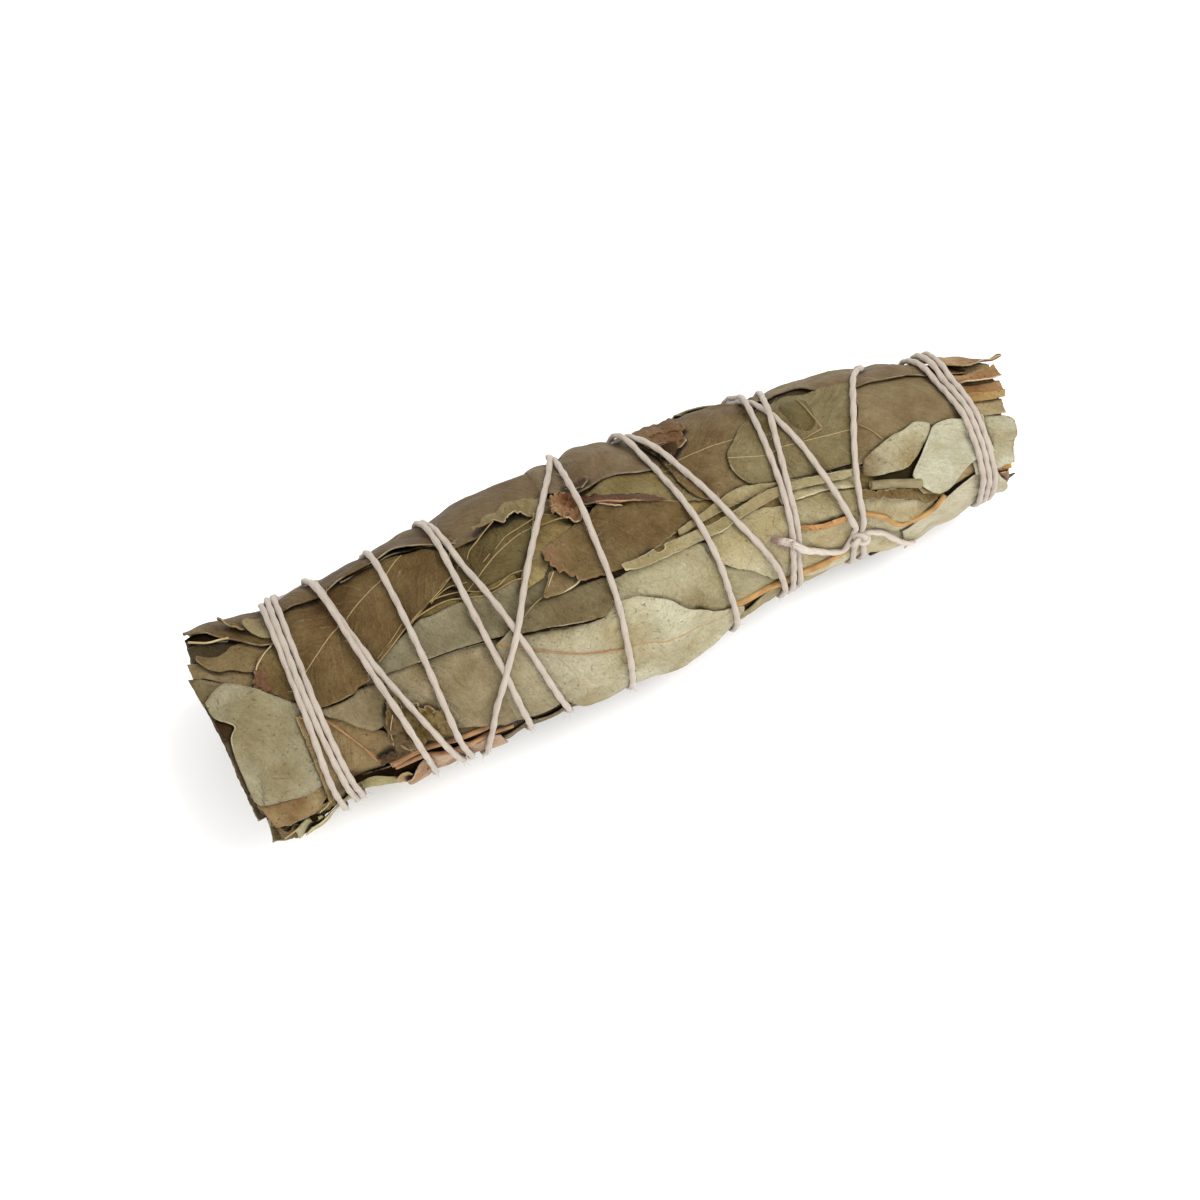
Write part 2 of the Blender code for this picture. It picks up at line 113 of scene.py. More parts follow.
def smoothPath(knots, step=0.25):
    # Catmull-Rom curve through the knots, with points every step mm or so of its first two numbers
    knots = np.asarray(knots, float)
    padded = np.vstack([2 * knots[0] - knots[1], knots, 2 * knots[-1] - knots[-2]])
    pieces = []
    for a, b, c, d in zip(padded[:-3], padded[1:-2], padded[2:-1], padded[3:]):
        size = math.hypot(c[0] - b[0], c[1] - b[1])
        t = np.linspace(0, 1, max(2, round(size / step)), endpoint=False)[:, None]
        cubic = (c - a) * t + (2 * a - 5 * b + 4 * c - d) * t**2 + (3 * b - a - 3 * c + d) * t**3
        pieces.append(b + 0.5 * cubic)
    return np.vstack(pieces + [knots[-1:]])


def runLength(points):
    # mm run so far at each point, by the first two numbers
    return np.concatenate([[0], np.cumsum(np.hypot(*np.diff(points[:, :2], axis=0).T))])


def alongPath(points, share):
    # the point at each share of a path's length
    length = runLength(points)
    return np.stack([np.interp(share * length[-1], length, points[:, k]) for k in range(points.shape[1])], -1)


def meshFrom(name, points, faces, attributes=None, material=None, thickness=0.0, smooth=True):
    # vertices and faces as arrays, vector or number attributes per vertex, and a wall inwards if asked
    mesh = bpy.data.meshes.new(name)
    mesh.from_pydata(points.reshape(-1, 3), [], faces if isinstance(faces, list) else faces.tolist())
    for key, values in (attributes or {}).items():
        kind, slot = ("FLOAT_VECTOR", "vector") if values.ndim == 2 else ("FLOAT", "value")
        mesh.attributes.new(key, kind, "POINT").data.foreach_set(slot, values.astype(np.float32).ravel())
    if smooth:
        mesh.shade_smooth()
    mesh.materials.append(material)
    piece = bpy.data.objects.new(name, mesh)
    bpy.context.scene.collection.objects.link(piece)
    if thickness:
        wall = piece.modifiers.new("wall", "SOLIDIFY")
        wall.thickness, wall.offset = thickness * mm, -1.0
        wall.use_even_offset = False
    return piece


def gridFaces(rows, columns, closed=False, first=0):
    # quads of a grid stored row by row, round to the first column again where it is closed
    row, column = np.meshgrid(np.arange(rows - 1), np.arange(columns if closed else columns - 1), indexing="ij")
    beside = (column + 1) % columns
    here, below = row * columns, (row + 1) * columns
    quads = [here + column, here + beside, below + beside, below + column]
    return first + np.stack(quads, -1).reshape(-1, 4)


def declare(piece, slot, *nodes):
    # every piece is part of the one rigid bundle
    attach(piece, "root")
    if nodes:
        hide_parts(*nodes)
    return piece


def packed(name):
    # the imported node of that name, if there is one
    return [name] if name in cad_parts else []


def add(tree, kind, links=None, out=0, **settings):
    # adds one node, sets it, fills its inputs with values or with other nodes' outputs, gives an output
    node = tree.nodes.new(kind)
    for key, value in settings.items():
        setattr(node, key, value)
    for key, value in (links or {}).items():
        if isinstance(value, bpy.types.NodeSocket):
            tree.links.new(value, node.inputs[key])
        else:
            node.inputs[key].default_value = value
    return node.outputs[out]


def read(tree, name, out="Vector"):
    # what the mesh carries under that name
    return add(tree, "ShaderNodeAttribute", out=out, attribute_name=name)


def noise(tree, place, scale, detail, roughness, distortion=0.0):
    # cloudy heights from 0 to 1; the scale is waves per mm of the place
    values = {"Vector": place, "Scale": scale, "Detail": detail, "Roughness": roughness, "Distortion": distortion}
    return add(tree, "ShaderNodeTexNoise", values)


def drawn(tree, place, scale, turn=0.0):
    # the place turned and stretched, so that noise on it has a direction
    return add(tree, "ShaderNodeMapping", {"Vector": place, "Rotation": (0, 0, turn), "Scale": scale})


def ranged(tree, value, low, high, bottom=0.0, top=1.0, smooth=False):
    # low to high becomes bottom to top, and nothing goes past them
    values = {"Value": value, "From Min": low, "From Max": high, "To Min": bottom, "To Max": top}
    return add(tree, "ShaderNodeMapRange", values, interpolation_type="SMOOTHSTEP" if smooth else "LINEAR")


def maths(tree, operation, *values):
    # one sum on up to three values or outputs
    return add(tree, "ShaderNodeMath", dict(enumerate(values)), operation=operation)


def tint(tree, under, over, share, mode="MIX"):
    # share of the colour over, the rest of the colour under
    return add(tree, "ShaderNodeMix", {0: share, 6: under, 7: over}, out=2, data_type="RGBA", blend_type=mode)


def newMaterial(name):
    # an empty material with its nodes and its shader
    material = bpy.data.materials.new(name)
    material.use_nodes = True
    return material, material.node_tree, material.node_tree.nodes["Principled BSDF"]


def finishMaterial(material, colour, relief, evenValues):
    # colour, mm of relief, and the values that are the same all over
    tree = material.node_tree
    shader = tree.nodes["Principled BSDF"]
    tree.links.new(colour, shader.inputs["Base Color"])
    normal = add(tree, "ShaderNodeBump", {"Height": relief, "Strength": 1.0, "Distance": mm})
    tree.links.new(normal, shader.inputs["Normal"])
    for socket, value in evenValues.items():
        shader.inputs[socket].default_value = value
    return material


leafFinish = {
    "blotchSize": 8.0,  # mm across
    "mottleSize": 1.3,
    "grainSize": 0.35,
    "brownScale": 0.16,  # browned patches for each mm
    "veinSpacing": 1.5,  # side veins, mm apart
    "veinSlope": 0.9,  # mm forward for each mm outwards
    "veinWidth": 0.10,  # share of the spacing
    "veinBend": (7.0, 0.35),  # mm that the blotches and the mottle bend them by
    "fibreStretch": (2.6, 0.30, 1),  # fibres for each mm across and along the side veins
    "wrinkleStretch": (0.8, 0.12, 1),
    "netScale": 1.7,
    "ribWidth": 0.08,  # half of it, mm
    "speckSize": 0.45,
    "scratchStretch": (0.6, 5.5, 1),
    "scratchTurn": 0.9,
    "roughness": 0.62,
    "specular": 0.14,
}

# Dried eucalyptus leaf finishes: usual colour, what its blotches multiply it by, how strongly the side
# veins show, how many specks it has, and the slot it belongs to. A leaf may have its own colour.
leafTones = {
    "PaleSage": ("9f9474", "dcd2bb", 0.20, 0.5, "leaf_sage"),  # chalky bloom still on it
    "Sage": ("8c8160", "d2c7ac", 0.30, 0.4, "leaf_sage"),  # bloom rubbed thin
    "GreyGreen": ("7d7456", "d4cdb6", 0.18, 0.3, "leaf_sage"),  # smooth, cool, slightly waxy
    "PaleGreen": ("aca787", "dcd8c6", 0.10, 0.1, "leaf_sage"),  # the palest, youngest leaves
    "Khaki": ("807350", "cdbf9c", 0.35, 0.5, "leaf_khaki"),  # yellowed
    "Olive": ("655838", "c6b890", 0.40, 0.7, "leaf_olive"),  # dull green-brown
    "DarkOlive": ("4a3f28", "b8a987", 0.30, 0.5, "leaf_olive"),  # inner leaves, seen in gaps
    "Brown": ("66523a", "cbb795", 0.45, 0.5, "leaf_brown"),  # well dried, veins pale on it
    "GreyBrown": ("756651", "d3c3ae", 0.15, 0.3, "leaf_brown"),  # smooth back of a brown leaf
    "Tan": ("7d6848", "cdb891", 0.35, 0.6, "leaf_tan"),  # fibrous and sandy
    "Pink": ("7c6047", "c8a98c", 0.30, 0.9, "leaf_tan"),  # reddish where sap dried
    "Beige": ("948561", "d6c8aa", 0.15, 0.4, "leaf_tan"),  # bleached
    "Ochre": ("7f6137", "c7a67c", 0.40, 0.6, "leaf_tan"),  # stalk ends and singed tips
    "Shadow": ("1c1209", "b8a987", 0.05, 0.1, "leaf_olive"),  # deep between leaves, lit by nothing
}


def driedLeafMaterial(tone, blotches, veins, specks):
    # reads mm along and across the leaf, so that veins and fibres follow it; matt with a faint wax
    material, tree, _ = newMaterial("driedLeaf" + tone)
    f = leafFinish
    own, point = read(tree, "leafColour", "Color"), read(tree, "leafPoint")
    rim, marks = read(tree, "rim", "Fac"), read(tree, "marks")
    along, across, layer = (add(tree, "ShaderNodeSeparateXYZ", {0: point}, out=k) for k in (0, 1, 2))
    torn, orange, shade = (add(tree, "ShaderNodeSeparateXYZ", {0: marks}, out=k) for k in (0, 1, 2))
    blotch = noise(tree, point, 1 / f["blotchSize"], 5.0, 0.6)
    mottle = noise(tree, point, 1 / f["mottleSize"], 6.0, 0.72)
    grain = noise(tree, point, 1 / f["grainSize"], 3.0, 0.7)
    away = maths(tree, "ABSOLUTE", across)
    # side veins: lines where (along - slope * away) / spacing passes a whole number, bent by the blotches
    lean = maths(tree, "MULTIPLY_ADD", away, -f["veinSlope"], along)
    bent = maths(tree, "MULTIPLY_ADD", blotch, f["veinBend"][0], lean)
    bent = maths(tree, "MULTIPLY_ADD", mottle, f["veinBend"][1], bent)
    # fibres and wrinkles lie beside those veins: noise that is fine across them and long along them
    beside = add(tree, "ShaderNodeCombineXYZ", {"X": bent, "Y": away, "Z": layer})
    fibre = noise(tree, drawn(tree, beside, f["fibreStretch"]), 1.0, 4.0, 0.65)
    wrinkle = noise(tree, drawn(tree, beside, f["wrinkleStretch"]), 1.0, 3.0, 0.6)
    wave = maths(tree, "PINGPONG", maths(tree, "DIVIDE", bent, f["veinSpacing"]), 0.5)
    line = ranged(tree, wave, f["veinWidth"] / 2, 0.0, smooth=True)
    vein = maths(tree, "MULTIPLY", line, ranged(tree, wrinkle, 0.40, 0.60, 0.1))
    # fine net between the side veins: edges of small cells
    cells = {"Vector": point, "Scale": f["netScale"]}
    net = ranged(tree, add(tree, "ShaderNodeTexVoronoi", cells, feature="DISTANCE_TO_EDGE"), 0.06, 0.0, smooth=True)
    rib = ranged(tree, away, f["ribWidth"] * 1.6, f["ribWidth"] * 0.6, smooth=True)
    # insect specks, and short dark scratches that run one way
    speck = ranged(tree, noise(tree, point, 1 / f["speckSize"], 1.0, 0.5), 0.67, 0.71, top=0.9 * specks)
    dash = noise(tree, drawn(tree, point, f["scratchStretch"], f["scratchTurn"]), 1.0, 2.0, 0.6, 0.8)
    scratch = ranged(tree, dash, 0.64, 0.69, top=0.8 * specks)
    # patches, mottle, streaks and grain multiply the leaf's own colour
    colour = tint(tree, own, linear(blotches), ranged(tree, blotch, 0.38, 0.64), "MULTIPLY")
    colour = tint(tree, colour, ranged(tree, mottle, 0.3, 0.72, 1.2, 0.76), 0.25 + 1.1 * veins, "MULTIPLY")
    colour = tint(tree, colour, ranged(tree, fibre, 0.3, 0.7, 0.78, 1.16), 0.6, "MULTIPLY")
    colour = tint(tree, colour, ranged(tree, grain, 0.3, 0.7, 1.15, 0.83), 0.8, "MULTIPLY")
    # where the leaf has browned: warm patches with a soft border
    browned = ranged(tree, noise(tree, point, f["brownScale"], 3.0, 0.55, 0.6), 0.55, 0.72, top=0.45)
    colour = tint(tree, colour, linear("c9ab85"), browned, "MULTIPLY")
    # veins and rib are a dry, paler yellow than the blade; along the edge the same pale is a painted highlight
    pale = tint(tree, own, linear("cfc3a2"), 0.38)
    colour = tint(tree, colour, pale, maths(tree, "MULTIPLY", vein, 0.6 * veins))
    colour = tint(tree, colour, pale, maths(tree, "MULTIPLY", net, 0.20 * veins))
    tornShare = ranged(tree, maths(tree, "MULTIPLY", torn, mottle), 0.2, 0.5, top=0.45)
    colour = tint(tree, colour, linear("6b4f34"), tornShare)
    ribColour = tint(tree, linear("93805a"), linear("a8703f"), orange)
    colour = tint(tree, colour, ribColour, maths(tree, "MULTIPLY", rib, 0.85))
    # painted highlight: a thin pale line along the edge, where its thickness would catch the light, only where the
    # blotches are light
    edge = maths(tree, "MULTIPLY", ranged(tree, rim, 0.12, 0.03, top=0.8), ranged(tree, blotch, 0.48, 0.60))
    colour = tint(tree, colour, pale, edge)
    # specks and scratches are the leaf's own marks; the last mix is painted shade, dark brown where the third mark is
    # set
    for code, share in (("2b2014", speck), ("3a2c1b", scratch), ("1a130b", shade)):
        colour = tint(tree, colour, linear(code), share)
    # relief in mm: rib, side veins, net, crinkle, cross wrinkles and grain
    relief = maths(tree, "MULTIPLY", rib, 0.10)
    heights = (vein, 0.05 * veins + 0.015), (net, 0.02), (mottle, 0.10 + 0.35 * veins), (fibre, 0.04 + 0.2 * veins)
    for share, high in (*heights, (wrinkle, 0.45), (grain, 0.06)):
        relief = maths(tree, "MULTIPLY_ADD", share, high, relief)
    specular = 0.0 if tone == "Shadow" else f["specular"]
    return finishMaterial(material, colour, relief, {"Roughness": f["roughness"], "Specular IOR Level": specular})


leafMaterials = {tone: driedLeafMaterial(tone, *finish[1:4]) for tone, finish in leafTones.items()}


def cottonStringMaterial():
    # undyed cotton twine: soft off-white with a pinkish cast, fine fibres along the twist, dust in it
    material, tree, _ = newMaterial("undyedCottonString")
    point, singe, bleach = read(tree, "stringPoint"), read(tree, "singe", "Fac"), read(tree, "bleach", "Fac")
    fibre = noise(tree, drawn(tree, point, (0.5, 7.0, 1), 0.5), 1.0, 4.0, 0.7)
    dust = noise(tree, point, 0.35, 6.0, 0.75)
    fleck = noise(tree, point, 2.2, 2.0, 0.9)
    colour = tint(tree, linear("7f7467"), linear("b6aa9d"), fibre)
    colour = tint(tree, colour, linear("8a7867"), ranged(tree, dust, 0.5, 0.72, top=0.45))
    colour = tint(tree, colour, linear("4a3929"), ranged(tree, fleck, 0.72, 0.78, top=0.7))
    colour = tint(tree, colour, linear("cfc6ba"), maths(tree, "MULTIPLY", bleach, 0.26))
    colour = tint(tree, colour, linear("6a4c3f"), singe)
    evenValues = {"Roughness": 0.9, "Specular IOR Level": 0.15, "Sheen Weight": 0.25, "Sheen Roughness": 0.5}
    return finishMaterial(material, colour, maths(tree, "MULTIPLY", fibre, 0.09), evenValues)


def dryStemMaterial(name, light, dark):
    # thin dry bark with streaks along the stem; where it was cut, paler wood round a dark pith
    material, tree, _ = newMaterial(name)
    point, cut = read(tree, "stemPoint"), read(tree, "cut", "Fac")
    streak = noise(tree, drawn(tree, point, (0.3, 3.0, 1)), 1.0, 5.0, 0.7)
    mixed = maths(tree, "MULTIPLY", streak, noise(tree, point, 0.5, 3.0, 0.5))
    colour = tint(tree, linear(dark), linear(light), ranged(tree, mixed, 0.12, 0.4))
    colour = tint(tree, colour, linear("9a835f"), cut)
    relief = maths(tree, "MULTIPLY", streak, 0.12)
    return finishMaterial(material, colour, relief, {"Roughness": 0.7, "Specular IOR Level": 0.3})


stringCotton = cottonStringMaterial()
reddishStem = dryStemMaterial("reddishStemBark", "a07a52", "6c4a30")
ochreStem = dryStemMaterial("ochreStemBark", "ab8650", "7d5c33")
greyStem = dryStemMaterial("greyTwigBark", "877b5a", "5a4f36")
ribFibre = dryStemMaterial("driedRibFibre", "927c50", "685634")
creamEdge = dryStemMaterial("driedLeafEdge", "b3a27a", "857450")
print("smudge stick: materials made")


# map of the bundle's surface: rows are stations, columns are bearings
surfaceMap = {"stationStep": 0.25, "halfLength": 66.0, "bearings": 360, "layerGap": 0.03}
stationAxis = np.arange(-surfaceMap["halfLength"], surfaceMap["halfLength"], surfaceMap["stationStep"])
bearingAxis = np.arange(surfaceMap["bearings"]) - 180.0
stationGrid, bearingGrid = np.meshgrid(stationAxis, bearingAxis, indexing="ij")


def readMap(field, station, bearing):
    # the field's value between its four nearest cells; bearings wrap round
    row = np.clip((station + surfaceMap["halfLength"]) / surfaceMap["stationStep"], 0, len(stationAxis) - 1.001)
    column = (np.asarray(bearing) + 180.0) % 360.0
    i, j = row.astype(int), column.astype(int) % 360
    a, b = row - i, column - np.floor(column)
    near = field[i, j] * (1 - b) + field[i, (j + 1) % 360] * b
    return near * (1 - a) + (field[i + 1, j] * (1 - b) + field[i + 1, (j + 1) % 360] * b) * a


def mapCells(station, bearing):
    # row and column of the nearest cells
    row = np.round((station + surfaceMap["halfLength"]) / surfaceMap["stationStep"]).astype(int)
    return np.clip(row, 0, len(stationAxis) - 1), np.round(bearing + 180.0).astype(int) % 360


def grown(field, cells):
    # greatest value within that many cells along and round
    for axis in (0, 1):
        field = np.max([np.roll(field, k, axis) for k in range(-cells, cells + 1)], axis=0)
    return field


def blurred(field, width):
    # mean weighted by a bell curve, its width in cells
    reach = int(2.5 * width) + 1
    weights = np.exp(-0.5 * (np.arange(-reach, reach + 1) / width) ** 2)
    for axis in (0, 1):
        field = sum(w * np.roll(field, k, axis) for w, k in zip(weights / weights.sum(), range(-reach, reach + 1)))
    return field


twine = {
    "radius": 0.43,
    "sink": 0.14,  # how far it beds into the leaves
    "deepSink": 0.22,  # and further where it is pulled over the top, between these bearings on the back
    "deepTurn": (25.0, 60.0),
    "plies": 2,
    "plyDepth": 0.11,  # share of the radius
    "plyTurn": 5.6,  # mm for a full twist
    "flat": 0.10,  # how much flatter and wider it lies where it is pressed
    "sides": 14,
    "ringStep": 0.38,
    "holdReach": 1.4,  # mm to either side where it holds the leaves flat
    "crossingReach": 0.86,  # mm between middles where one strand starts to climb over another
    "crossingStep": 0.48,
    "backRun": ((-76.0, 0.02), (-94.0, 0.12), (-112.0, 0.46), (-134.0, 0.9), (-160.0, 1.0), (-222.0, 1.0)),
    "backShifts": (-12.0, -6.0, 0.0, 6.0, 12.0),
    # each turn's stations where it passes these bearings on the front, in winding order
    "frontBearings": (100, 60, 20, -25, -58),
    "turns": (
        (28.7, 28.8, 26.8, 24.0, 22.4), (17.8, 16.5, 12.4, 8.3, 4.8), (-15.8, -17.9, -20.4, -23.2, -24.1),
        (-31.5, -34.1, -37.8, -40.2, -41.0), (-48.2, -49.1, -48.8, -48.5, -48.3), (-7.0, -6.8, -5.9, -5.2, -4.7),
        (18.8, 19.2, 20.7, 21.8, 22.8), (9.8, 9.1, 8.1, 6.2, 4.3), (-21.5, -22.7, -23.8, -24.3, -24.9),
        (-30.3, -31.8, -32.1, -32.5, -33.3), (-35.5, -36.7, -38.8, -40.5, -41.6), (-46.4, -47.5, -48.0, -47.7, -47.4),
        (-45.4, -46.6, -47.1, -46.8, -46.5), (-28.2, -25.6, -18.2, -10.0, -5.4), (19.9, 20.3, 21.6, 24.0, 25.6),
        (30.3, 30.0, 31.7, 36.4, 40.4), (48.4, 48.8, 49.1, 48.1, 46.9), (49.3, 49.7, 50.0, 49.1, 48.2),
        (50.2, 50.6, 50.9, 50.1, 49.5),
    ),
    "knotAt": (29.4, 72.0),
    "firstTail": ((16.6, 43), (17.6, 45), (19.2, 49), (20.8, 57), (22.8, 68), (24.8, 77), (27.2, 82)),
    "firstRise": ((29.0, 66), (28.4, 51)),
    "lastTail": ((28.7, 92), (28.9, 80), (30.3, 71), (32.3, 76), (34.4, 87), (36.2, 95), (38.0, 103)),
}


def stringRoute():
    # station, bearing and rank of the whole string; a higher rank lies over a lower one
    t = twine
    last = len(t["turns"]) + 1
    knots = [(s, b, last) for s, b in t["firstTail"]] + [(s, b, 0) for s, b in t["firstRise"]]
    for rank, stations in enumerate(t["turns"]):
        wound, high = -360.0 * rank, stations[-1]
        knots += [(s, wound + b, rank) for s, b in zip(stations, t["frontBearings"])][0 if rank else 2:]
        following = t["turns"][rank + 1][0] if rank + 1 < len(t["turns"]) else t["lastTail"][0][0]
        shift = t["backShifts"][rank % len(t["backShifts"])]
        for b, share in t["backRun"]:
            knots.append((high + (following - high) * share, wound + b + (shift if share < 1 else 0), rank + 0.5))
    knots += [(s, wound - 360.0 + b, last) for s, b in t["lastTail"]]
    knots = np.array(knots)
    knots[:, 1] *= bundle["mmPerDegree"]
    route = smoothPath(knots, 0.5)
    route[:, 1] /= bundle["mmPerDegree"]
    return route


route = stringRoute()
underString = np.zeros(stationGrid.shape)
underString[mapCells(route[:, 0], route[:, 1])] = 1.0
underString = grown(underString, 1)


def stringBed(width):
    # 1 under the string, fading to 0 over about that many mm
    bed = blurred(underString, width / surfaceMap["stationStep"])
    return np.clip(bed / np.percentile(bed[underString > 0], 30), 0, 1)


dent = sum(depth * stringBed(width) for depth, width in (bundle["stringDent"], bundle["softDent"]))
heldDown = stringBed(twine["holdReach"])  # curls die out here


leafMake = {
    "gridStep": 0.30,  # mm between grid lines of a leaf
    "fineStep": 0.17,  # on crumpled scraps
    "backStep": 0.45,  # on the leaves of the back and the underside
    "coarseStep": 0.9,  # on the leaves under the others
    "gapShade": 0.94,  # painted shade: how dark a leaf is painted right beside the edge of one that lies over it
    "gapWidth": 0.95,  # in map cells of a quarter mm
    "rasterStep": 0.13,  # mm between the points that mark a leaf on the map
    "thickness": 0.20,
    "curlReach": 1.9,  # mm in from the edge where a curl starts
    "curlSize": 4.5,  # mm along the edge between its rises
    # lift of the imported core: station, on the top and back, on the front, low on the front
    "restLift": (
        (-60, 0.95, 1.35, 0.55), (-50, 0.95, 1.20, 0.65), (-43, 0.98, 1.30, 0.35), (-37, 1.00, 1.45, 0.90),
        (-30, 1.02, 1.65, 2.20), (-20, 1.04, 1.90, 2.50), (-10, 1.07, 2.00, 2.20), (5, 1.15, 1.85, 1.85),
        (20, 1.60, 1.55, 1.45), (30, 1.30, 1.15, 1.15), (42, 1.00, 1.15, 1.15), (50, -0.30, 1.10, 1.10),
        (60, -0.80, 0.90, 0.90),
    ),
    "restUnder": -1.36,  # and underneath
    "frontTurn": (-25.0, 60.0),  # bearings between which it goes from the top's to the front's
    "lowTurn": (52.0, 84.0),
    "underTurn": (112.0, 150.0),  # and from either to the underside's
    "bed": (2, 2.2),  # map cells that a leaf bridges in what lies below it, and that ease its height
    "heldShare": 0.85,  # how much of a curl the string takes away
    "tornReach": 0.7,  # mm in from a torn edge that look torn
    "tuck": (0.55, 1.6),  # mm down and in from an edge that slips under its neighbour
    "tearSizes": (0.7, 0.25),  # mm between the bites of a torn edge, coarse and fine
    "ripple": 0.022,  # mm, fine waves of the dry blade
}

# Leaf rows, inner first: name, tone, upper edge and lower edge from foot to tip as (station, bearing),
# then what else it has: its own colour, start and end edges, rib, curl of the four edges in mm (upper,
# lower, start, end), tear (roughness of the edges in mm), crumple (mm) and its size, edges that are torn
# or tucked under, a roll (edge, width, radius in mm), a fade to another colour (edge, colour, mm), how far
# it is raised, and marks: a painted shade over the whole leaf and an orange rib. A lens has base, tip and
# width instead of the two edges, and a hollow is a flat sheet in the dark Shadow tone: painted shade
# standing for the dark gap between leaves.


def lens(name, tone, base, tip, width, cutStart=False, cutEnd=False, **more):
    # a natural leaf outline: the half width swells from the stalk, is fullest at 4 tenths and tapers
    run = np.array([tip[0] - base[0], (tip[1] - base[1]) * bundle["mmPerDegree"]])
    side = np.array([-run[1], run[0]]) / np.hypot(*run)
    share = np.array([0.0, 0.06, 0.18, 0.38, 0.6, 0.8, 0.94, 1.0])
    half = np.array([0.10, 0.42, 0.80, 1.0, 0.92, 0.62, 0.25, 0.04])
    if cutStart:
        half[:3] = 0.82, 0.88, 0.94
    if cutEnd:
        half[-3:] = 0.72, 0.62, 0.55
    half = half * width / 2
    middle = np.array([base[0], base[1] * bundle["mmPerDegree"]]) + share[:, None] * run
    edges = [middle + sign * half[:, None] * side for sign in (-1, 1)]
    upper, lower = ([(s, q / bundle["mmPerDegree"]) for s, q in edge] for edge in edges)
    return leaf(name, tone, upper, lower, **{"step": "backStep", **more})


def leaf(name, tone, upper, lower, **more):
    # a row with what is usual for a leaf, and over it what this one has
    row = dict(
        name=name, tone=tone, upper=upper, lower=lower, colour=leafTones[tone][0], start=(), end=(), rib=None,
        curl=(0.25, 0.25, 0.2, 0.2), tear=0.05, crumple=0.22, crumpleSize=5.0, torn=(), tucked=(), roll=None,
        fade=None, raised=0.0, shade=0.0, orange=0.0, step=None,
    )
    row.update(more)
    return row


def paintedShadeSheet(name, upper, lower, **more):
    # a flat sheet in the Shadow tone: painted shade for a dark gap between leaves
    return leaf(name, "Shadow", upper, lower, **{"curl": (0, 0, 0, 0), "crumple": 0.1, **more})


# eight large plain leaves under all the others, a pair to each side: the middle bearing of the pair, how
# far it reaches to either side of it, where the pair starts, and both colours. All are darkened by a
# painted shade, and the front pair's dark browns are painted shade for the deep shadow under the front leaves
wrapLeaves = {
    "top": (-2, 55, -58.2, "584826", "96804e"), "front": (94, 55, -56.8, "382a12", "483e27"),
    "under": (180, 42, -56.8, "4a3f28", "4a3f28"), "back": (-96, 55, -56.8, "4a3f28", "4a3f28"),
}
# shade: a painted shade over the whole of each wrap leaf
wrapLook = {"step": "coarseStep", "tear": 0.5, "crumple": 0.35, "shade": 0.25}
leafRows = []
for place, (middle, reach, begins, footColour, tipColour) in wrapLeaves.items():
    for end, first, last, colour in (("foot", begins, 1.0, footColour), ("tip", -1.5, 53.4, tipColour)):
        edges = ([(s, middle + sign * reach) for s in np.linspace(first, last, 5)] for sign in (-1, 1))
        leafRows.append(leaf("wrap_leaf_" + place + "_" + end, "DarkOlive", *edges, colour=colour, **wrapLook))

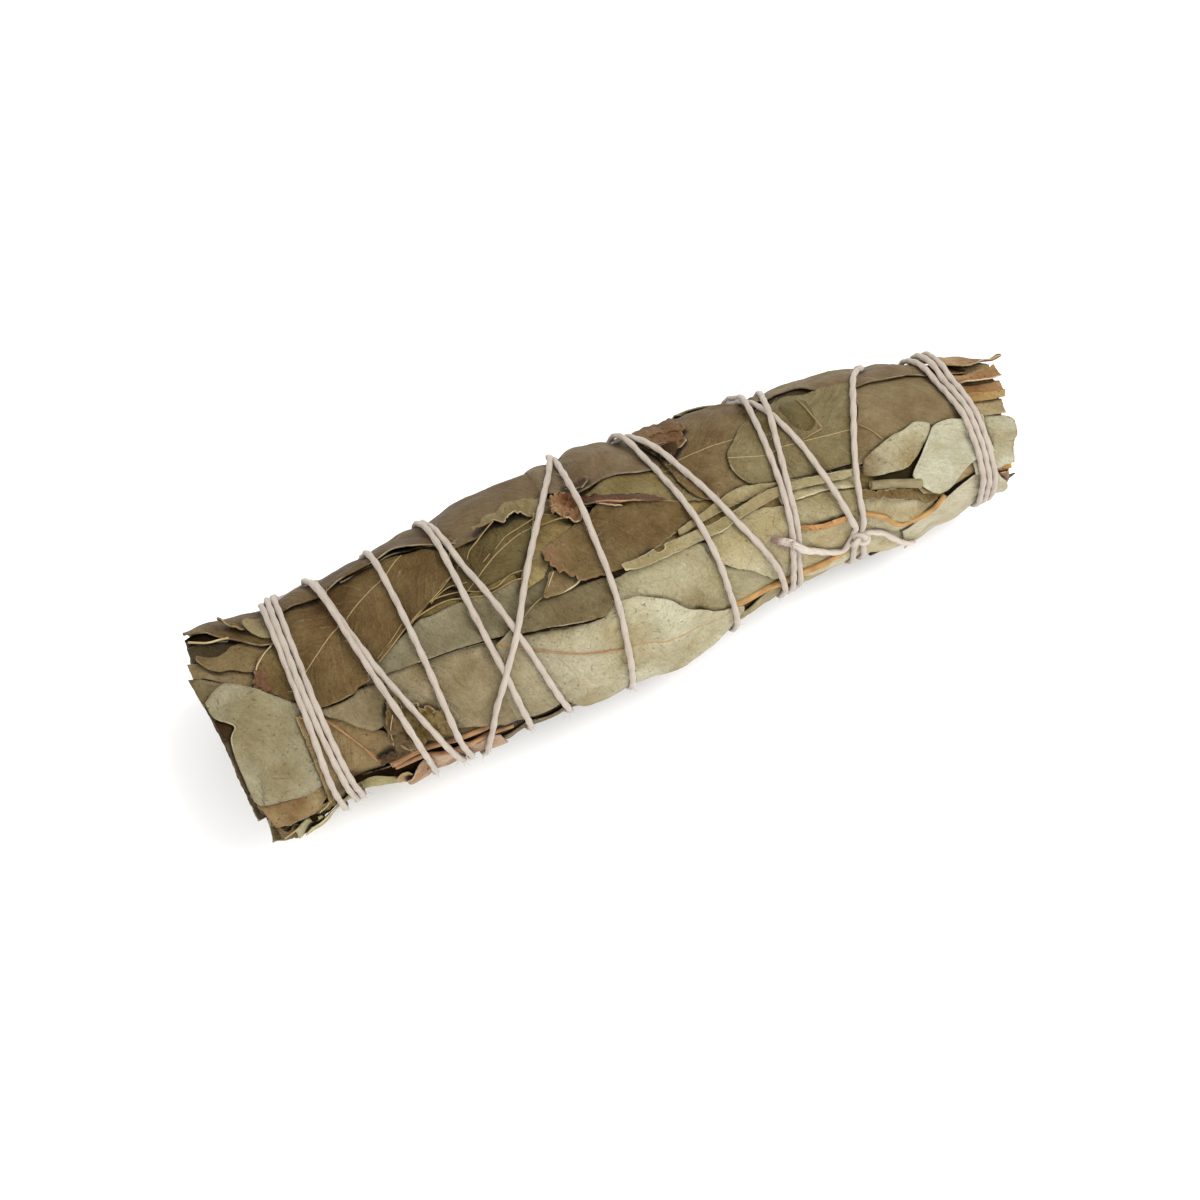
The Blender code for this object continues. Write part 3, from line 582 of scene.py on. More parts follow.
leafRows += [
    lens("under_leaf_foot", "Sage", (-59, 183), (-33, 178), 14.5, cutStart=True, crumple=0.12, step="coarseStep",
        colour="7c7459"),
    lens("under_leaf_middle", "Khaki", (-18, 182), (20, 178), 14.5, crumple=0.12, step="coarseStep",
        colour="736849"),
    lens("under_leaf_tip", "Tan", (22, 178), (56, 182), 13.0, cutEnd=True, crumple=0.12, step="coarseStep"),
    # low on the front, on the back and underneath
    lens("low_leaf_1", "Khaki", (-58.5, 124), (-24, 116), 13.0, cutStart=True, curl=(0.7, 0.3, 0.3, 0.2)),
    lens("low_leaf_2", "Olive", (-30, 112), (10, 116), 13.0, curl=(0.5, 0.3, 0.2, 0.2)),
    lens("low_leaf_3", "Sage", (3, 112), (40, 112), 12.0, curl=(0.6, 0.3, 0.2, 0.2)),
    lens("low_leaf_4", "Tan", (32, 116), (53.6, 112), 10.0, cutEnd=True),
    lens("back_leaf_1", "Olive", (-59, -124), (-27, -118), 14.0, cutStart=True),
    lens("back_leaf_2", "Tan", (-54, -88), (-16, -94), 13.0),
    lens("back_leaf_3", "Sage", (-33, -124), (7, -118), 14.0),
    lens("back_leaf_4", "Khaki", (-20, -80), (20, -92), 14.0),
    lens("back_leaf_5", "Brown", (1, -124), (38, -116), 13.0),
    lens("back_leaf_6", "Olive", (14, -78), (54, -94), 13.0, cutEnd=True),
    lens("back_leaf_long_brown", "Brown", (-58, -104), (-36, -84), 9.0, cutStart=True),
    lens("back_leaf_pale", "PaleSage", (-30, -104), (-2, -100), 9.5),
    lens("back_leaf_grey", "GreyGreen", (8, -104), (36, -98), 9.0),
    lens("back_leaf_tip", "Khaki", (34, -122), (57, -118), 9.0, cutEnd=True),
    lens("under_leaf_narrow", "Olive", (-34, 168), (-14, 186), 6.5, crumple=0.12),
    lens("under_leaf_small", "Brown", (14, 190), (34, 172), 6.0, crumple=0.12),
    lens("low_leaf_pale", "PaleSage", (-50, 134), (-26, 132), 8.0),
    lens("low_leaf_brown", "Brown", (-6, 128), (18, 134), 8.0),
    # foot, from the top down the front
    leaf("foot_layer_dark", "DarkOlive", [(-59.4, -50), (-55, -50), (-48, -40)], [(-59.4, 66), (-55, 68),
        (-48, 70)], start=[(-59.4, -40), (-59.7, -30), (-60.2, -18), (-60.2, -4), (-59.9, 10), (-59.7, 26),
        (-59.6, 46)], curl=(0, 0, 0.2, 0), tear=0.1, colour="4c432c"),
    leaf("foot_layer_brown", "Brown", [(-59.3, 10), (-55, 10), (-48, 10)], [(-57, 80), (-54, 80), (-48, 80)],
        start=[(-59.6, 24), (-59.6, 40), (-59.1, 52), (-58.1, 66)], curl=(0, 0.2, 0.3, 0), tear=0.12,
        torn=("start",), colour="3e3322"),
    leaf("foot_leaf_inner", "DarkOlive", [(-59.5, -38), (-56, -34), (-50, -30)], [(-59.6, -25), (-56.6, -20),
        (-50, -20)], curl=(0, 0, 0, 0), crumple=0.1, colour="463c26"),
    # painted shade: a dark sheet where the gap between leaves lies in shadow
    paintedShadeSheet("foot_hollow_upper", [(-59.4, -46), (-56, -42), (-53.8, -36)], [(-58.9, -38), (-56.6, -34),
        (-54.2, -31)]),
    leaf("foot_leaf_green_strip", "Khaki", [(-60.2, -26), (-56, -18), (-50, -12)], [(-60.2, -18), (-58.2, -13),
        (-57, -9), (-53.4, 1), (-48, 6)], curl=(0, 0.2, 0.3, 0), crumple=0.15, colour="7a6c50"),
    leaf("foot_scrap_corner", "Khaki", [(-60.8, -17), (-59.2, -14), (-57.4, -9), (-56, -6)], [(-60.3, -1),
        (-59, -1), (-57.4, -2), (-56, 0)], curl=(0.3, 0, 0.3, 0), crumple=0.2, colour="60543a"),
    leaf("foot_leaf_strip", "Tan", [(-58.7, -27.5), (-56.8, -23.5), (-55.3, -24), (-53.6, -27), (-46, -27)],
        [(-58.6, -21), (-57.6, -16), (-56.6, -13.5), (-54.9, -12), (-52.4, -8), (-46, -6)], start=[(-58.8, -24)],
        curl=(0, 0.5, 0.4, 0), tear=0.07, crumple=0.15, colour="685838"),
    leaf("foot_fold_low", "Beige", [(-57, 80), (-52, 82), (-46, 79), (-40, 87), (-36, 88)], [(-55.2, 97),
        (-51, 102), (-45, 104), (-40, 104), (-36, 104)], curl=(0.3, 0, 0.2, 0), tear=0.06, colour="8a8158"),
    # painted shade: a dark sheet where the gap between leaves lies in shadow
    paintedShadeSheet("foot_hollow_low", [(-57.4, 68), (-54.5, 66), (-50.5, 68), (-49.2, 70)], [(-57.2, 76), (-55.1, 78),
        (-53.4, 80), (-52.2, 81), (-51.4, 77), (-49.4, 75.5)], tear=0.1),
    leaf("foot_fold_brown", "Tan", [(-57.6, 71), (-56.3, 76), (-54.8, 80)], [(-57.4, 90), (-56.3, 96),
        (-54.8, 94)], curl=(0.5, 0.1, 0.3, 0.3), tear=0.14, crumple=0.5, crumpleSize=1.1, colour="5e4d2e"),
    leaf("foot_fold_khaki", "Khaki", [(-52.1, 80), (-50.5, 78), (-48.8, 77), (-45.5, 76)], [(-52, 94), (-49, 92),
        (-45, 90)], curl=(0.4, 0.1, 0.3, 0), tear=0.09, crumple=0.4, crumpleSize=1.3, colour="776a44"),
    leaf("foot_fold_pale", "Sage", [(-55.4, 79), (-54.2, 79.5), (-53.1, 81), (-51.6, 84)], [(-55.4, 92),
        (-53.3, 96), (-51, 92)], curl=(0.3, 0, 0.2, 0.1), tear=0.07, crumple=0.2, colour="8e8866"),
    leaf("foot_fold_edge", "PaleSage", [(-54.4, 92), (-51.6, 87), (-48.6, 85), (-46, 85)], [(-54.2, 100),
        (-51, 99), (-46, 98)], curl=(0.2, 0, 0.1, 0), crumple=0.15, colour="a39c7c"),
    # painted shade: a dark sheet where the gap between leaves lies in shadow
    paintedShadeSheet("foot_hollow_spot", [(-53.1, 78.5), (-52.1, 78)], [(-53, 83), (-52.2, 83)], tear=0.1, crumple=0.05),
    leaf("foot_leaf_pink_edge", "Pink", [(-59.2, 46), (-56, 53), (-49, 58), (-42, 62)], [(-57.6, 68), (-56.2, 70),
        (-54.1, 72), (-52, 74), (-49.6, 73), (-42, 74)], curl=(0, 0.7, 0.3, 0), tear=0.1, torn=("lower", "start"),
        colour="7b6c4a"),
    leaf("foot_leaf_torn", "Olive", [(-49.3, -22), (-46, -26), (-41, -26)], [(-53.4, 2), (-51, 8), (-49, 16),
        (-43, 22)], start=[(-49.6, -18), (-50.8, -15), (-52.1, -10), (-52.8, -5)], curl=(0, 0.2, 0.4, 0),
        torn=("start",), tear=0.1, colour="6b5b3a"),
    leaf("foot_scrap_red", "Pink", [(-52.6, -7.5), (-52, -7), (-51.3, -6)], [(-53.6, 1), (-52.6, 5), (-51.2, 3)],
        curl=(0.1, 0.2, 0.2, 0), tear=0.2, crumple=0.35, crumpleSize=0.7, torn=("start", "lower"),
        tucked=("end",), colour="5c412a"),
    # painted shade: a dark sheet where the gap between leaves lies in shadow
    paintedShadeSheet("foot_hollow", [(-59.9, 7), (-57.3, 10)], [(-59.5, 18), (-57.7, 17)], crumple=0.05, colour="382a1c"),
    leaf("foot_leaf_pale", "PaleSage", [(-59.9, -2), (-58.6, -5), (-57.6, -6.6), (-56.9, -7), (-55.1, -4),
        (-53.5, 1.5), (-51.4, 8), (-49.1, 16), (-44, 27)], [(-58.9, 49), (-58.1, 53), (-55.3, 56), (-51.8, 61),
        (-50, 61), (-44, 64)], start=[(-59.9, 2), (-59.6, 6), (-58.9, 9), (-57.9, 12), (-57.6, 14.5),
        (-58.5, 17.5), (-58.9, 24), (-59, 35)], curl=(0.2, 0.15, 0.35, 0), crumple=0.25, colour="7a735b"),
    leaf("foot_leaf_tan", "Tan", [(-58.3, -84), (-50, -86), (-42, -80)], [(-59.2, -41), (-56.8, -39), (-56, -37),
        (-54.7, -31.5), (-53.5, -29), (-52.6, -25.5), (-49.7, -19.5), (-44, -20)], start=[(-58.6, -66),
        (-59.1, -52)], curl=(0, 0.8, 0.4, 0), tear=0.07, crumple=0.3, colour="5b4a2c"),
    leaf("foot_scrap_ridge", "Tan", [(-54.4, -41), (-53, -41), (-51.6, -38)], [(-54, -38), (-52.8, -33),
        (-51.2, -32)], curl=(0.3, 0.7, 0.5, 0.2), tear=0.15, crumple=0.5, crumpleSize=1.0, tucked=("upper",),
        colour="665430"),
    leaf("foot_scrap_tongue", "Beige", [(-50.8, -37), (-50, -39), (-48.4, -42), (-45, -44)], [(-51.3, -30),
        (-50.7, -27), (-49.4, -23), (-45, -22)], start=[(-51.6, -34)], curl=(0.2, 0.3, 0.6, 0), tear=0.04,
        crumple=0.15, colour="7f7355"),
    # front, from the foot to the first crossing
    leaf("front_leaf_speckled", "Khaki", [(-50, 22), (-46.7, 24), (-43, 36), (-40, 48), (-36, 58)], [(-50, 75),
        (-45.5, 75), (-41, 76), (-36, 72)], rib=[(-50, 22), (-46.6, 30), (-44.7, 42), (-43, 55), (-42, 64),
        (-41, 76)], curl=(0.2, 0.7, 0, 0.3), tear=0.1, orange=1.0, crumple=0.3, colour="796747"),
    leaf("front_leaf_olive", "Sage", [(-40, 20), (-37, 18), (-31, 20), (-24, 24), (-18, 28)], [(-38.6, 60),
        (-37.7, 65), (-33.5, 63), (-29.3, 67), (-26.7, 72), (-23, 77), (-18, 80)], start=[(-40.2, 32), (-40, 46)],
        end=[(-19, 44), (-19, 62)], curl=(0.2, 0.75, 0.3, 0), tear=0.1, crumple=0.32, fade=("end", "776c52", 9.0),
        colour="7d7259"),
    leaf("front_leaf_small_grey", "GreyGreen", [(-47, 23), (-42.3, 22), (-38.4, 24)], [(-46.4, 28), (-44.6, 33),
        (-43.3, 38), (-41.1, 44), (-38.6, 40)], end=[(-37.4, 30)], curl=(0.6, 0.3, 0, 0.4),
        roll=("upper", 1.0, 0.5), tear=0.08, colour="75684e"),
    leaf("front_scrap_olive", "Khaki", [(-38.8, 33), (-36.6, 36), (-34.6, 42), (-32.6, 50), (-31.4, 58)],
        [(-39.2, 48), (-37.4, 56), (-35.4, 62), (-33.4, 67), (-31.6, 70)], curl=(0.7, 0.3, 0.4, 0.3), tear=0.25,
        crumple=0.7, crumpleSize=1.1, torn=("upper",), colour="756540"),
    leaf("front_scrap_crumpled", "Pink", [(-39.7, 39), (-38.8, 35.5), (-37.8, 39), (-37, 45)], [(-40, 50),
        (-39.3, 57), (-38.3, 61), (-37.2, 54)], curl=(0.7, 0.4, 0.8, 0.3), tear=0.14, crumple=0.6,
        crumpleSize=1.0, torn=("upper", "start"), colour="58482e"),
    leaf("front_scrap_clump", "Brown", [(-42.2, 61), (-41.4, 59.5), (-40.6, 57), (-40, 59)], [(-41.9, 64.5),
        (-41.2, 64), (-40.4, 67), (-39.9, 64)], curl=(0.1, 0.2, 0.3, 0), tear=0.2, crumple=0.6, crumpleSize=0.7,
        colour="46331f"),
    leaf("front_leaf_rib", "Olive", [(-28, -32), (-24.4, -30), (-19, -31), (-14, -35), (-8, -30), (-4.5, -22)],
        [(-28, -4), (-24.8, -5), (-21.7, 7), (-16, 10), (-12, 9), (-7, 0)], rib=[(-20.5, -6), (-18.2, -11),
        (-14.5, -17), (-11.5, -20), (-7, -27)], curl=(0.1, 0.3, 0, 0.2), crumple=0.3, colour="564a2a"),
    leaf("front_strip_yellow", "Khaki", [(-31, 0), (-27, 1), (-22, 3), (-17, 3)], [(-31, 4), (-27, 5), (-22, 7),
        (-17, 8)], curl=(0.55, 0.2, 0.2, 0.2), colour="695b35"),
    # painted shade: a dark sheet where the gap under the next leaf's edge lies in shadow
    paintedShadeSheet("front_slit_smooth", [(-33, 21), (-27.6, 22), (-24, 24), (-19, 27)], [(-33.5, 22.6), (-31.9, 24.2),
        (-27.6, 26), (-24, 28.6), (-20.2, 31), (-18.6, 31)]),
    leaf("front_leaf_smooth", "GreyGreen", [(-39.5, 16), (-37.7, 13), (-31.5, 4), (-28.6, 5), (-24.5, 5),
        (-21.7, 7), (-17.6, 7), (-12, 6)], [(-39, 20.5), (-37, 21), (-31.9, 23), (-27.6, 24.5), (-24, 27),
        (-20.2, 29), (-12, 30)], curl=(0.3, 0.7, 0.2, 0), crumple=0.15, tear=0.04, colour="6d654e"),
    leaf("top_scrap_curled", "GreyBrown", [(-34, -46), (-31.5, -45), (-28, -38), (-24, -32)], [(-33.2, -33),
        (-32, -33), (-30, -31), (-28, -29.5), (-25.4, -27), (-23.5, -26)], curl=(0, 0.8, 0.6, 0), tear=0.08,
        crumple=0.35, tucked=("upper",), colour="66543b"),
    leaf("top_leaf_brown_grey", "GreyBrown", [(-28, -74), (-15, -84), (-2, -76)], [(-26.5, -31), (-24.4, -27),
        (-21, -25.5), (-19, -26), (-17, -31), (-13, -34), (-9, -32), (-5, -35), (-1, -40)],
        curl=(0, 0.35, 0.2, 0.2), crumple=0.18, tucked=("end",), colour="605036"),
    leaf("top_scrap_pale", "Sage", [(-19.6, -28.5), (-18.6, -31), (-17.7, -34), (-15.5, -35), (-13, -36),
        (-10.4, -34), (-7.5, -31)], [(-19.4, -26.5), (-18.2, -28), (-17.2, -29), (-15, -27), (-13.4, -28),
        (-11.7, -25.5), (-8.7, -22)], curl=(0.35, 0.8, 0.6, 0.2), tear=0.16, crumple=0.4, crumpleSize=1.4,
        torn=("lower",), tucked=("end",), colour="75694a"),
    # painted shade: a dark sheet where the gap under the next leaf's edge lies in shadow
    paintedShadeSheet("front_slit_foot", [(-49, 15), (-45, 18), (-41, 18)], [(-48.8, 22), (-47.4, 23.6), (-46.4, 23.8),
        (-44.4, 24.4), (-42.4, 24.2), (-41.4, 22)]),
    leaf("front_leaf_big_brown", "Brown", [(-48.5, -48), (-45.5, -52), (-43.2, -45), (-39.9, -41), (-35.9, -41),
        (-30, -36), (-25, -27)], [(-48.5, 12), (-46.9, 22), (-42.4, 23), (-41.2, 21), (-39.4, 20), (-37.7, 14),
        (-33.3, 5), (-30.8, 2), (-24.8, -9)], end=[(-23.6, -19)], rib=[(-29, -35), (-32.8, -28), (-39.3, -16),
        (-41, -13), (-46.8, 2), (-48.5, 6)], curl=(0.1, 0.45, 0, 0.2), crumple=0.28, colour="5c4a2a"),
    # painted shade: a dark sheet where the gap under the next leaf's edge lies in shadow
    paintedShadeSheet("top_slit", [(-37, -44), (-30, -44), (-24, -36)], [(-38, -37.6), (-34, -37.4), (-31.6, -37.6),
        (-29.6, -36.6), (-27.6, -32.8), (-25.5, -30.4), (-23.5, -30)]),
    leaf("top_leaf_edge_strip", "GreyBrown", [(-47.6, -80), (-36, -84), (-23, -78)], [(-47.6, -37), (-46.3, -35),
        (-43.9, -34.5), (-41.6, -36), (-38.6, -38), (-36, -38), (-32, -38), (-29.8, -37), (-26, -30), (-22, -29)],
        curl=(0, 0.4, 0.2, 0), crumple=0.25, tucked=("end",), colour="58472b"),
    # painted shade: a dark sheet where the gap between leaves lies in shadow
    paintedShadeSheet("low_hollow_foot", [(-46.5, 71), (-42, 71), (-38, 75), (-33, 79), (-29, 80)], [(-46, 76.5),
        (-43.5, 81), (-40.8, 87), (-36, 92), (-30, 88)]),
    leaf("low_scrap_tan", "Beige", [(-40.8, 85), (-39.6, 83), (-38.6, 85)], [(-40.6, 92), (-39.4, 94),
        (-38.4, 94)], curl=(0.3, 0.1, 0.3, 0.1), tear=0.08, crumple=0.3, crumpleSize=1.0, colour="a08a68"),
    leaf("low_leaf_roll", "Pink", [(-39.6, 88), (-37.8, 82), (-35.5, 79), (-32, 80), (-29, 84), (-26, 88)],
        [(-39, 97), (-36.2, 100), (-32, 100), (-28, 102), (-25, 104)], curl=(0.2, 0, 0.1, 0), crumple=0.15,
        raised=0.25, colour="a08a72"),
    # middle
    leaf("front_leaf_olive_strip", "Sage", [(-11.2, -25), (-8.7, -18), (-6.5, -9)], [(-17.5, 13), (-14, 11),
        (-11.3, 2)], start=[(-13.5, -8), (-16, 4)], end=[(-9, -5)], curl=(0.2, 0.2, 0.3, 0.2), tear=0.12,
        colour="7c6c46"),
    leaf("front_leaf_grey", "GreyGreen", [(-8, 24), (-5.5, 25), (-1.5, 24), (4.3, 25), (7.6, 28), (12.4, 36),
        (17, 44)], [(-8, 42), (0, 54), (6, 74), (10, 82), (15, 84), (19.5, 82)], end=[(18.8, 60)],
        curl=(0.2, 0.3, 0, 0.1), crumple=0.3, colour="8c8468"),
    leaf("front_leaf_large_pale", "PaleSage", [(-23.5, 32), (-18, 25), (-10, 29), (-5.6, 35), (-3.5, 36),
        (0.1, 43), (2.3, 52), (6.6, 69), (9.2, 77), (11, 81)], [(-23.5, 76), (-17.5, 77), (-13.4, 92), (-9, 100),
        (-5.5, 104), (-0.9, 104), (4.7, 102), (8.5, 97), (11, 88)], start=[(-24.5, 50)], tucked=("start",),
        fade=("start", "776c52", 17.0), rib=[(-22, 32), (-18.6, 40), (-12.2, 52), (-6.9, 59), (-2.2, 67),
        (1.9, 71), (5, 75), (11, 82)], curl=(0.35, 0.5, 0.2, 0.1), orange=0.6, crumple=0.25, colour="9e9980"),
    # painted shade: a dark sheet where the gap under the flap's edge lies in shadow
    paintedShadeSheet("front_slit_flap", [(-20, 28), (-14, 30), (-9, 31)], [(-20.4, 31), (-18.9, 32), (-16.4, 33.8),
        (-13, 36.2), (-10.6, 38.2), (-8.6, 38), (-7.4, 36)]),
    leaf("front_leaf_flap", "Khaki", [(-19.5, 24), (-17.4, 21), (-15, 20.5), (-11.4, 21), (-8, 21.5), (-5.6, 23)],
        [(-20.6, 30), (-18.9, 30.5), (-16.4, 32), (-13, 34.5), (-9.4, 36.5), (-7.4, 36), (-5.4, 30)],
        curl=(0.2, 1.1, 0.2, 0.3), crumple=0.3, tucked=("start",), colour="645a40"),
    leaf("front_scrap_folded", "Tan", [(-15, 19), (-13.6, 13.5), (-12.4, 10), (-9.3, 14)], [(-14.6, 20),
        (-12.4, 20), (-10.6, 19.5), (-9.2, 18)], curl=(0.6, 0.7, 0.4, 0.2), tear=0.06, crumple=0.3,
        crumpleSize=1.5, colour="6d5c3e"),
    leaf("front_leaf_yellow", "Khaki", [(-5, -24), (-1.9, -27), (2.6, -26), (5.6, -22), (9, -10), (13, 5)],
        [(-4.6, -17), (-2.3, -13), (2.3, -11), (4.8, -1), (7.4, 4), (12, 11)], curl=(0.2, 0.3, 0.3, 0.1),
        tear=0.1, colour="756a48"),
    leaf("front_leaf_veined", "Brown", [(-12.6, 0), (-10.8, -3), (-9, -4.5), (-7.1, -7), (-5, -10), (-2.5, -13),
        (1.8, -9), (4.8, -1), (8, 5)], [(-12.9, 5), (-12.2, 6.5), (-12.4, 8.5), (-11.7, 9.2), (-11.9, 11.8),
        (-11.1, 12.2), (-10.6, 15.5), (-9.9, 15.8), (-9.9, 18.6), (-8.8, 19.4), (-7.4, 20.2), (-6.2, 21),
        (-4.1, 21.5), (-2, 21.5), (0.9, 20.5), (3.6, 18), (8, 15)], curl=(0.1, 0.6, 0.9, 0.1), tear=0.08,
        torn=("start", "lower"), crumple=0.5, crumpleSize=3.2, tucked=("end",), fade=("start", "73573e", 4.0),
        colour="645434"),
    leaf("front_scrap_red", "Pink", [(-5.2, -26), (-4, -25), (-2.4, -20), (-1.2, -17), (0.7, -13), (2, -11),
        (3.7, -7), (6, -1)], [(-4.6, -17), (-3.2, -13), (-0.7, -8), (2.1, -4.5), (5.4, 1)],
        curl=(0.05, 0.3, 0.2, 0.1), tear=0.2, crumpleSize=2.2, torn=("upper",), tucked=("upper", "end"),
        colour="573f2e"),
    leaf("front_scrap_lip", "Pink", [(-3.4, -15), (-1.8, -11), (-0.4, -8)], [(-3, -12), (-1.4, -7.6),
        (-0.2, -6.2)], curl=(0, 0.2, 0, 0), tear=0.12, crumple=0.15, tucked=("upper", "end"), colour="80604a"),
    leaf("top_leaf_narrow", "GreyBrown", [(-9, -72), (0, -82), (9, -66)], [(-9, -38), (-7.5, -33), (-6, -30),
        (-3.9, -27), (0.2, -27), (5.8, -23), (8, -25)], curl=(0, 0.3, 0.2, 0.2), crumple=0.2,
        tucked=("start", "end"), colour="6b5d47"),
    leaf("front_scrap_curled", "Pink", [(-8.8, -22), (-8.2, -28), (-7, -30), (-5.4, -27)], [(-8.2, -14),
        (-7.4, -9), (-6.2, -8), (-5, -14)], start=[(-9, -18)], curl=(0.35, 0.4, 0.3, 0.2), tear=0.16,
        crumple=0.75, crumpleSize=0.75, colour="8a6e50"),
    leaf("front_scrap_dark", "Brown", [(-6.2, -33), (-4.2, -34), (-2.4, -32)], [(-5.8, -29), (-4.4, -27.5),
        (-2.8, -29)], curl=(0, 0.15, 0, 0), tear=0.2, crumple=0.15, torn=("upper", "lower"), colour="3e2c1e"),
    # towards the tip
    leaf("front_leaf_tan_smooth", "Beige", [(18, 42), (24.5, 44), (30, 48), (38, 58)], [(17, 88), (24, 94),
        (29, 102), (33, 105), (39, 106)], curl=(0.2, 0.5, 0, 0.2), crumple=0.2, colour="a69e82"),
    leaf("front_leaf_beige", "Beige", [(28, 37), (31, 40), (35.2, 48), (37.9, 55), (41, 62)], [(28, 54),
        (31.6, 57), (35.6, 70), (41, 73)], curl=(0.3, 0.5, 0, 0.2), tear=0.06, colour="9c947a"),
    leaf("front_leaf_small_sage", "Sage", [(19, 29), (25.9, 31), (31, 36)], [(19, 44), (24.5, 47.5), (30, 53)],
        curl=(0.3, 0.4, 0, 0.1), tear=0.06, colour="90886a"),
    leaf("front_edge_orange", "Ochre", [(20.6, 42.5), (22.9, 45), (24.3, 46.5), (26.2, 47.5), (28.4, 49)],
        [(21.3, 45), (23.1, 48.8), (25.4, 51.2), (28.2, 52)], curl=(0.5, 0.2, 0.1, 0.1), crumple=0.15,
        colour="9e7346"),
    leaf("front_strip_lower", "Sage", [(20, 23), (25, 24), (32, 28)], [(20, 28.5), (25.9, 30), (31, 35)],
        curl=(0.3, 0.6, 0, 0.2), colour="aea687"),
    leaf("front_leaf_cut_edge", "PaleSage", [(8, 24), (12.6, 24), (13.9, 23), (17.9, 27), (20, 29)], [(9, 42),
        (13, 56), (16, 74), (17.8, 79)], end=[(20.2, 36), (19.6, 46), (18.7, 67)], curl=(0.2, 0.2, 0, 0.5),
        tear=0.12, crumple=0.3, colour="9a9275"),
    leaf("top_leaf_ribbed", "Brown", [(5, -50), (8, -64), (16, -66), (24, -52), (27, -38)], [(8.2, -20),
        (8.5, -4), (10, 7), (12.5, 12), (17, 14), (21, 17), (25, 16)], start=[(7.2, -34)], rib=[(8.6, -21),
        (11.1, -20), (14.9, -18), (18.8, -17), (25, -18)], curl=(0, 0.4, 0.4, 0), crumple=0.25, colour="655436"),
    leaf("front_scrap_reddish", "Pink", [(5.8, -48), (8, -54), (12, -54)], [(6.9, -37), (8.3, -32), (9.6, -27.5),
        (10.6, -26), (12, -28)], end=[(12.9, -36), (12.4, -46)], curl=(0.1, 0.8, 0.4, 0.1), tear=0.12,
        crumple=0.4, crumpleSize=1.6, colour="6c563a"),
    # painted shade: a dark sheet where the gap between leaves lies in shadow
    paintedShadeSheet("front_hollow", [(7.8, -33), (9.2, -32), (10.6, -29)], [(7.9, -27), (9.2, -23), (10.4, -25)],
        tear=0.12, colour="3c2e1e"),
    leaf("front_leaf_diagonal", "Olive", [(23, -54), (28.5, -58), (35.7, -44), (39, -26)], [(23, 2), (27, 17),
        (33, 25), (39, 20)], rib=[(25, -36), (28.6, -28), (29.2, -16), (29.7, -6)], curl=(0, 0.3, 0, 0.2),
        crumple=0.4, colour="3c3020"),
    leaf("tip_leaf_tan", "GreyBrown", [(33.2, -38), (38, -42), (44, -44), (51, -44)], [(31, 24), (36.5, 20),
        (40, 17), (44.3, 17), (48.2, 17), (51, 16)], start=[(35.6, -14), (33, 6)], curl=(0, 0.3, 0, 0.2),
        crumple=0.2, colour="74674b"),
    leaf("top_leaf_tip_strip", "GreyBrown", [(24, -76), (36, -84), (50, -74)], [(23.5, -44), (25.7, -41),
        (28.6, -43), (30.3, -39), (32.4, -31), (34.7, -26), (37.8, -26), (41, -28), (45, -29), (50, -34)],
        curl=(0, 0.35, 0.2, 0.2), colour="6a5b42"),
    leaf("front_leaf_round", "Khaki", [(15.7, -6), (16.2, -10), (17.7, -15), (20, -24), (23, -32), (27, -34),
        (31, -31), (36.8, -27)], [(15.6, -1), (15.9, 5), (17.2, 12), (21.2, 16), (25.7, 19), (29, 20),
        (31.7, 21)], end=[(35, -10), (33.1, 6)], rib=[(15.8, -6), (18, -3.5), (20.9, -1), (23, -1.5), (24.8, -1)],
        curl=(0.45, 0.3, 0.5, 0.1), tucked=("end",), colour="6a6042"),
    leaf("front_scrap_cream_edge", "Khaki", [(25, -30), (27, -31), (30, -29)], [(26, -6), (27.6, -5), (29.4, -6)],
        curl=(0, 0, 0, 0), tear=0.02, crumple=0.15, tucked=("upper", "lower", "start", "end"), colour="5c5234"),
    leaf("front_strip_upper", "Sage", [(5, 17), (7.3, 15.5), (14.4, 11.5), (17.1, 13), (20.9, 16), (27, 21)],
        [(5, 20), (11, 18.5), (16, 19), (21, 20), (27, 24)], curl=(0.3, 0.5, 0.2, 0.2), tear=0.06,
        colour="857a5a"),
    leaf("front_leaf_folded_strip", "PaleSage", [(-4, 20), (-1, 20.5), (0.8, 20), (1, 22), (2.5, 22), (2.7, 20),
        (6.9, 21), (11.7, 21.5), (14.5, 20.5), (17, 19), (20.8, 18), (27, 21), (31, 24)], [(-3.8, 23), (-1.3, 25),
        (1.7, 25.5), (6.2, 26.5), (11.9, 26.5), (16.3, 25), (21.5, 23.5), (27, 26), (31, 28)],
        curl=(0.3, 0.9, 0.5, 0.2), tear=0.07, colour="887f60"),
    # painted shade: a dark sheet where the cavity between leaves lies in shadow
    paintedShadeSheet("tip_hollow", [(33.5, 32), (37, 31), (40, 24), (43, 16)], [(34, 36), (36.7, 40), (39, 44), (42, 40)],
        colour="2c2416"),
    leaf("tip_scrap_brown_low", "Tan", [(31, 37), (34, 42), (37.5, 47), (40.5, 54), (43, 58)], [(31, 42),
        (34, 47), (37.5, 54), (40, 62), (42, 64)], curl=(0.3, 0.5, 0.2, 0.3), tear=0.16, crumple=0.5,
        crumpleSize=1.2, torn=("upper", "lower"), colour="695a38"),
    leaf("tip_layer_tan", "Tan", [(49, -60), (54, -58), (57, -54)], [(49.5, 22), (52, 22), (55, 22)],
        end=[(57.6, -40), (57, -22), (56.4, -4), (55.6, 10)], curl=(0, 0, 0, 0.3), tear=0.12, torn=("end",),
        crumple=0.25, colour="8c7a58"),
    leaf("tip_scrap_orange", "Ochre", [(50.5, 56), (54.4, 57)], [(50.5, 69), (54, 70)], curl=(0.2, 0.1, 0, 0.2),
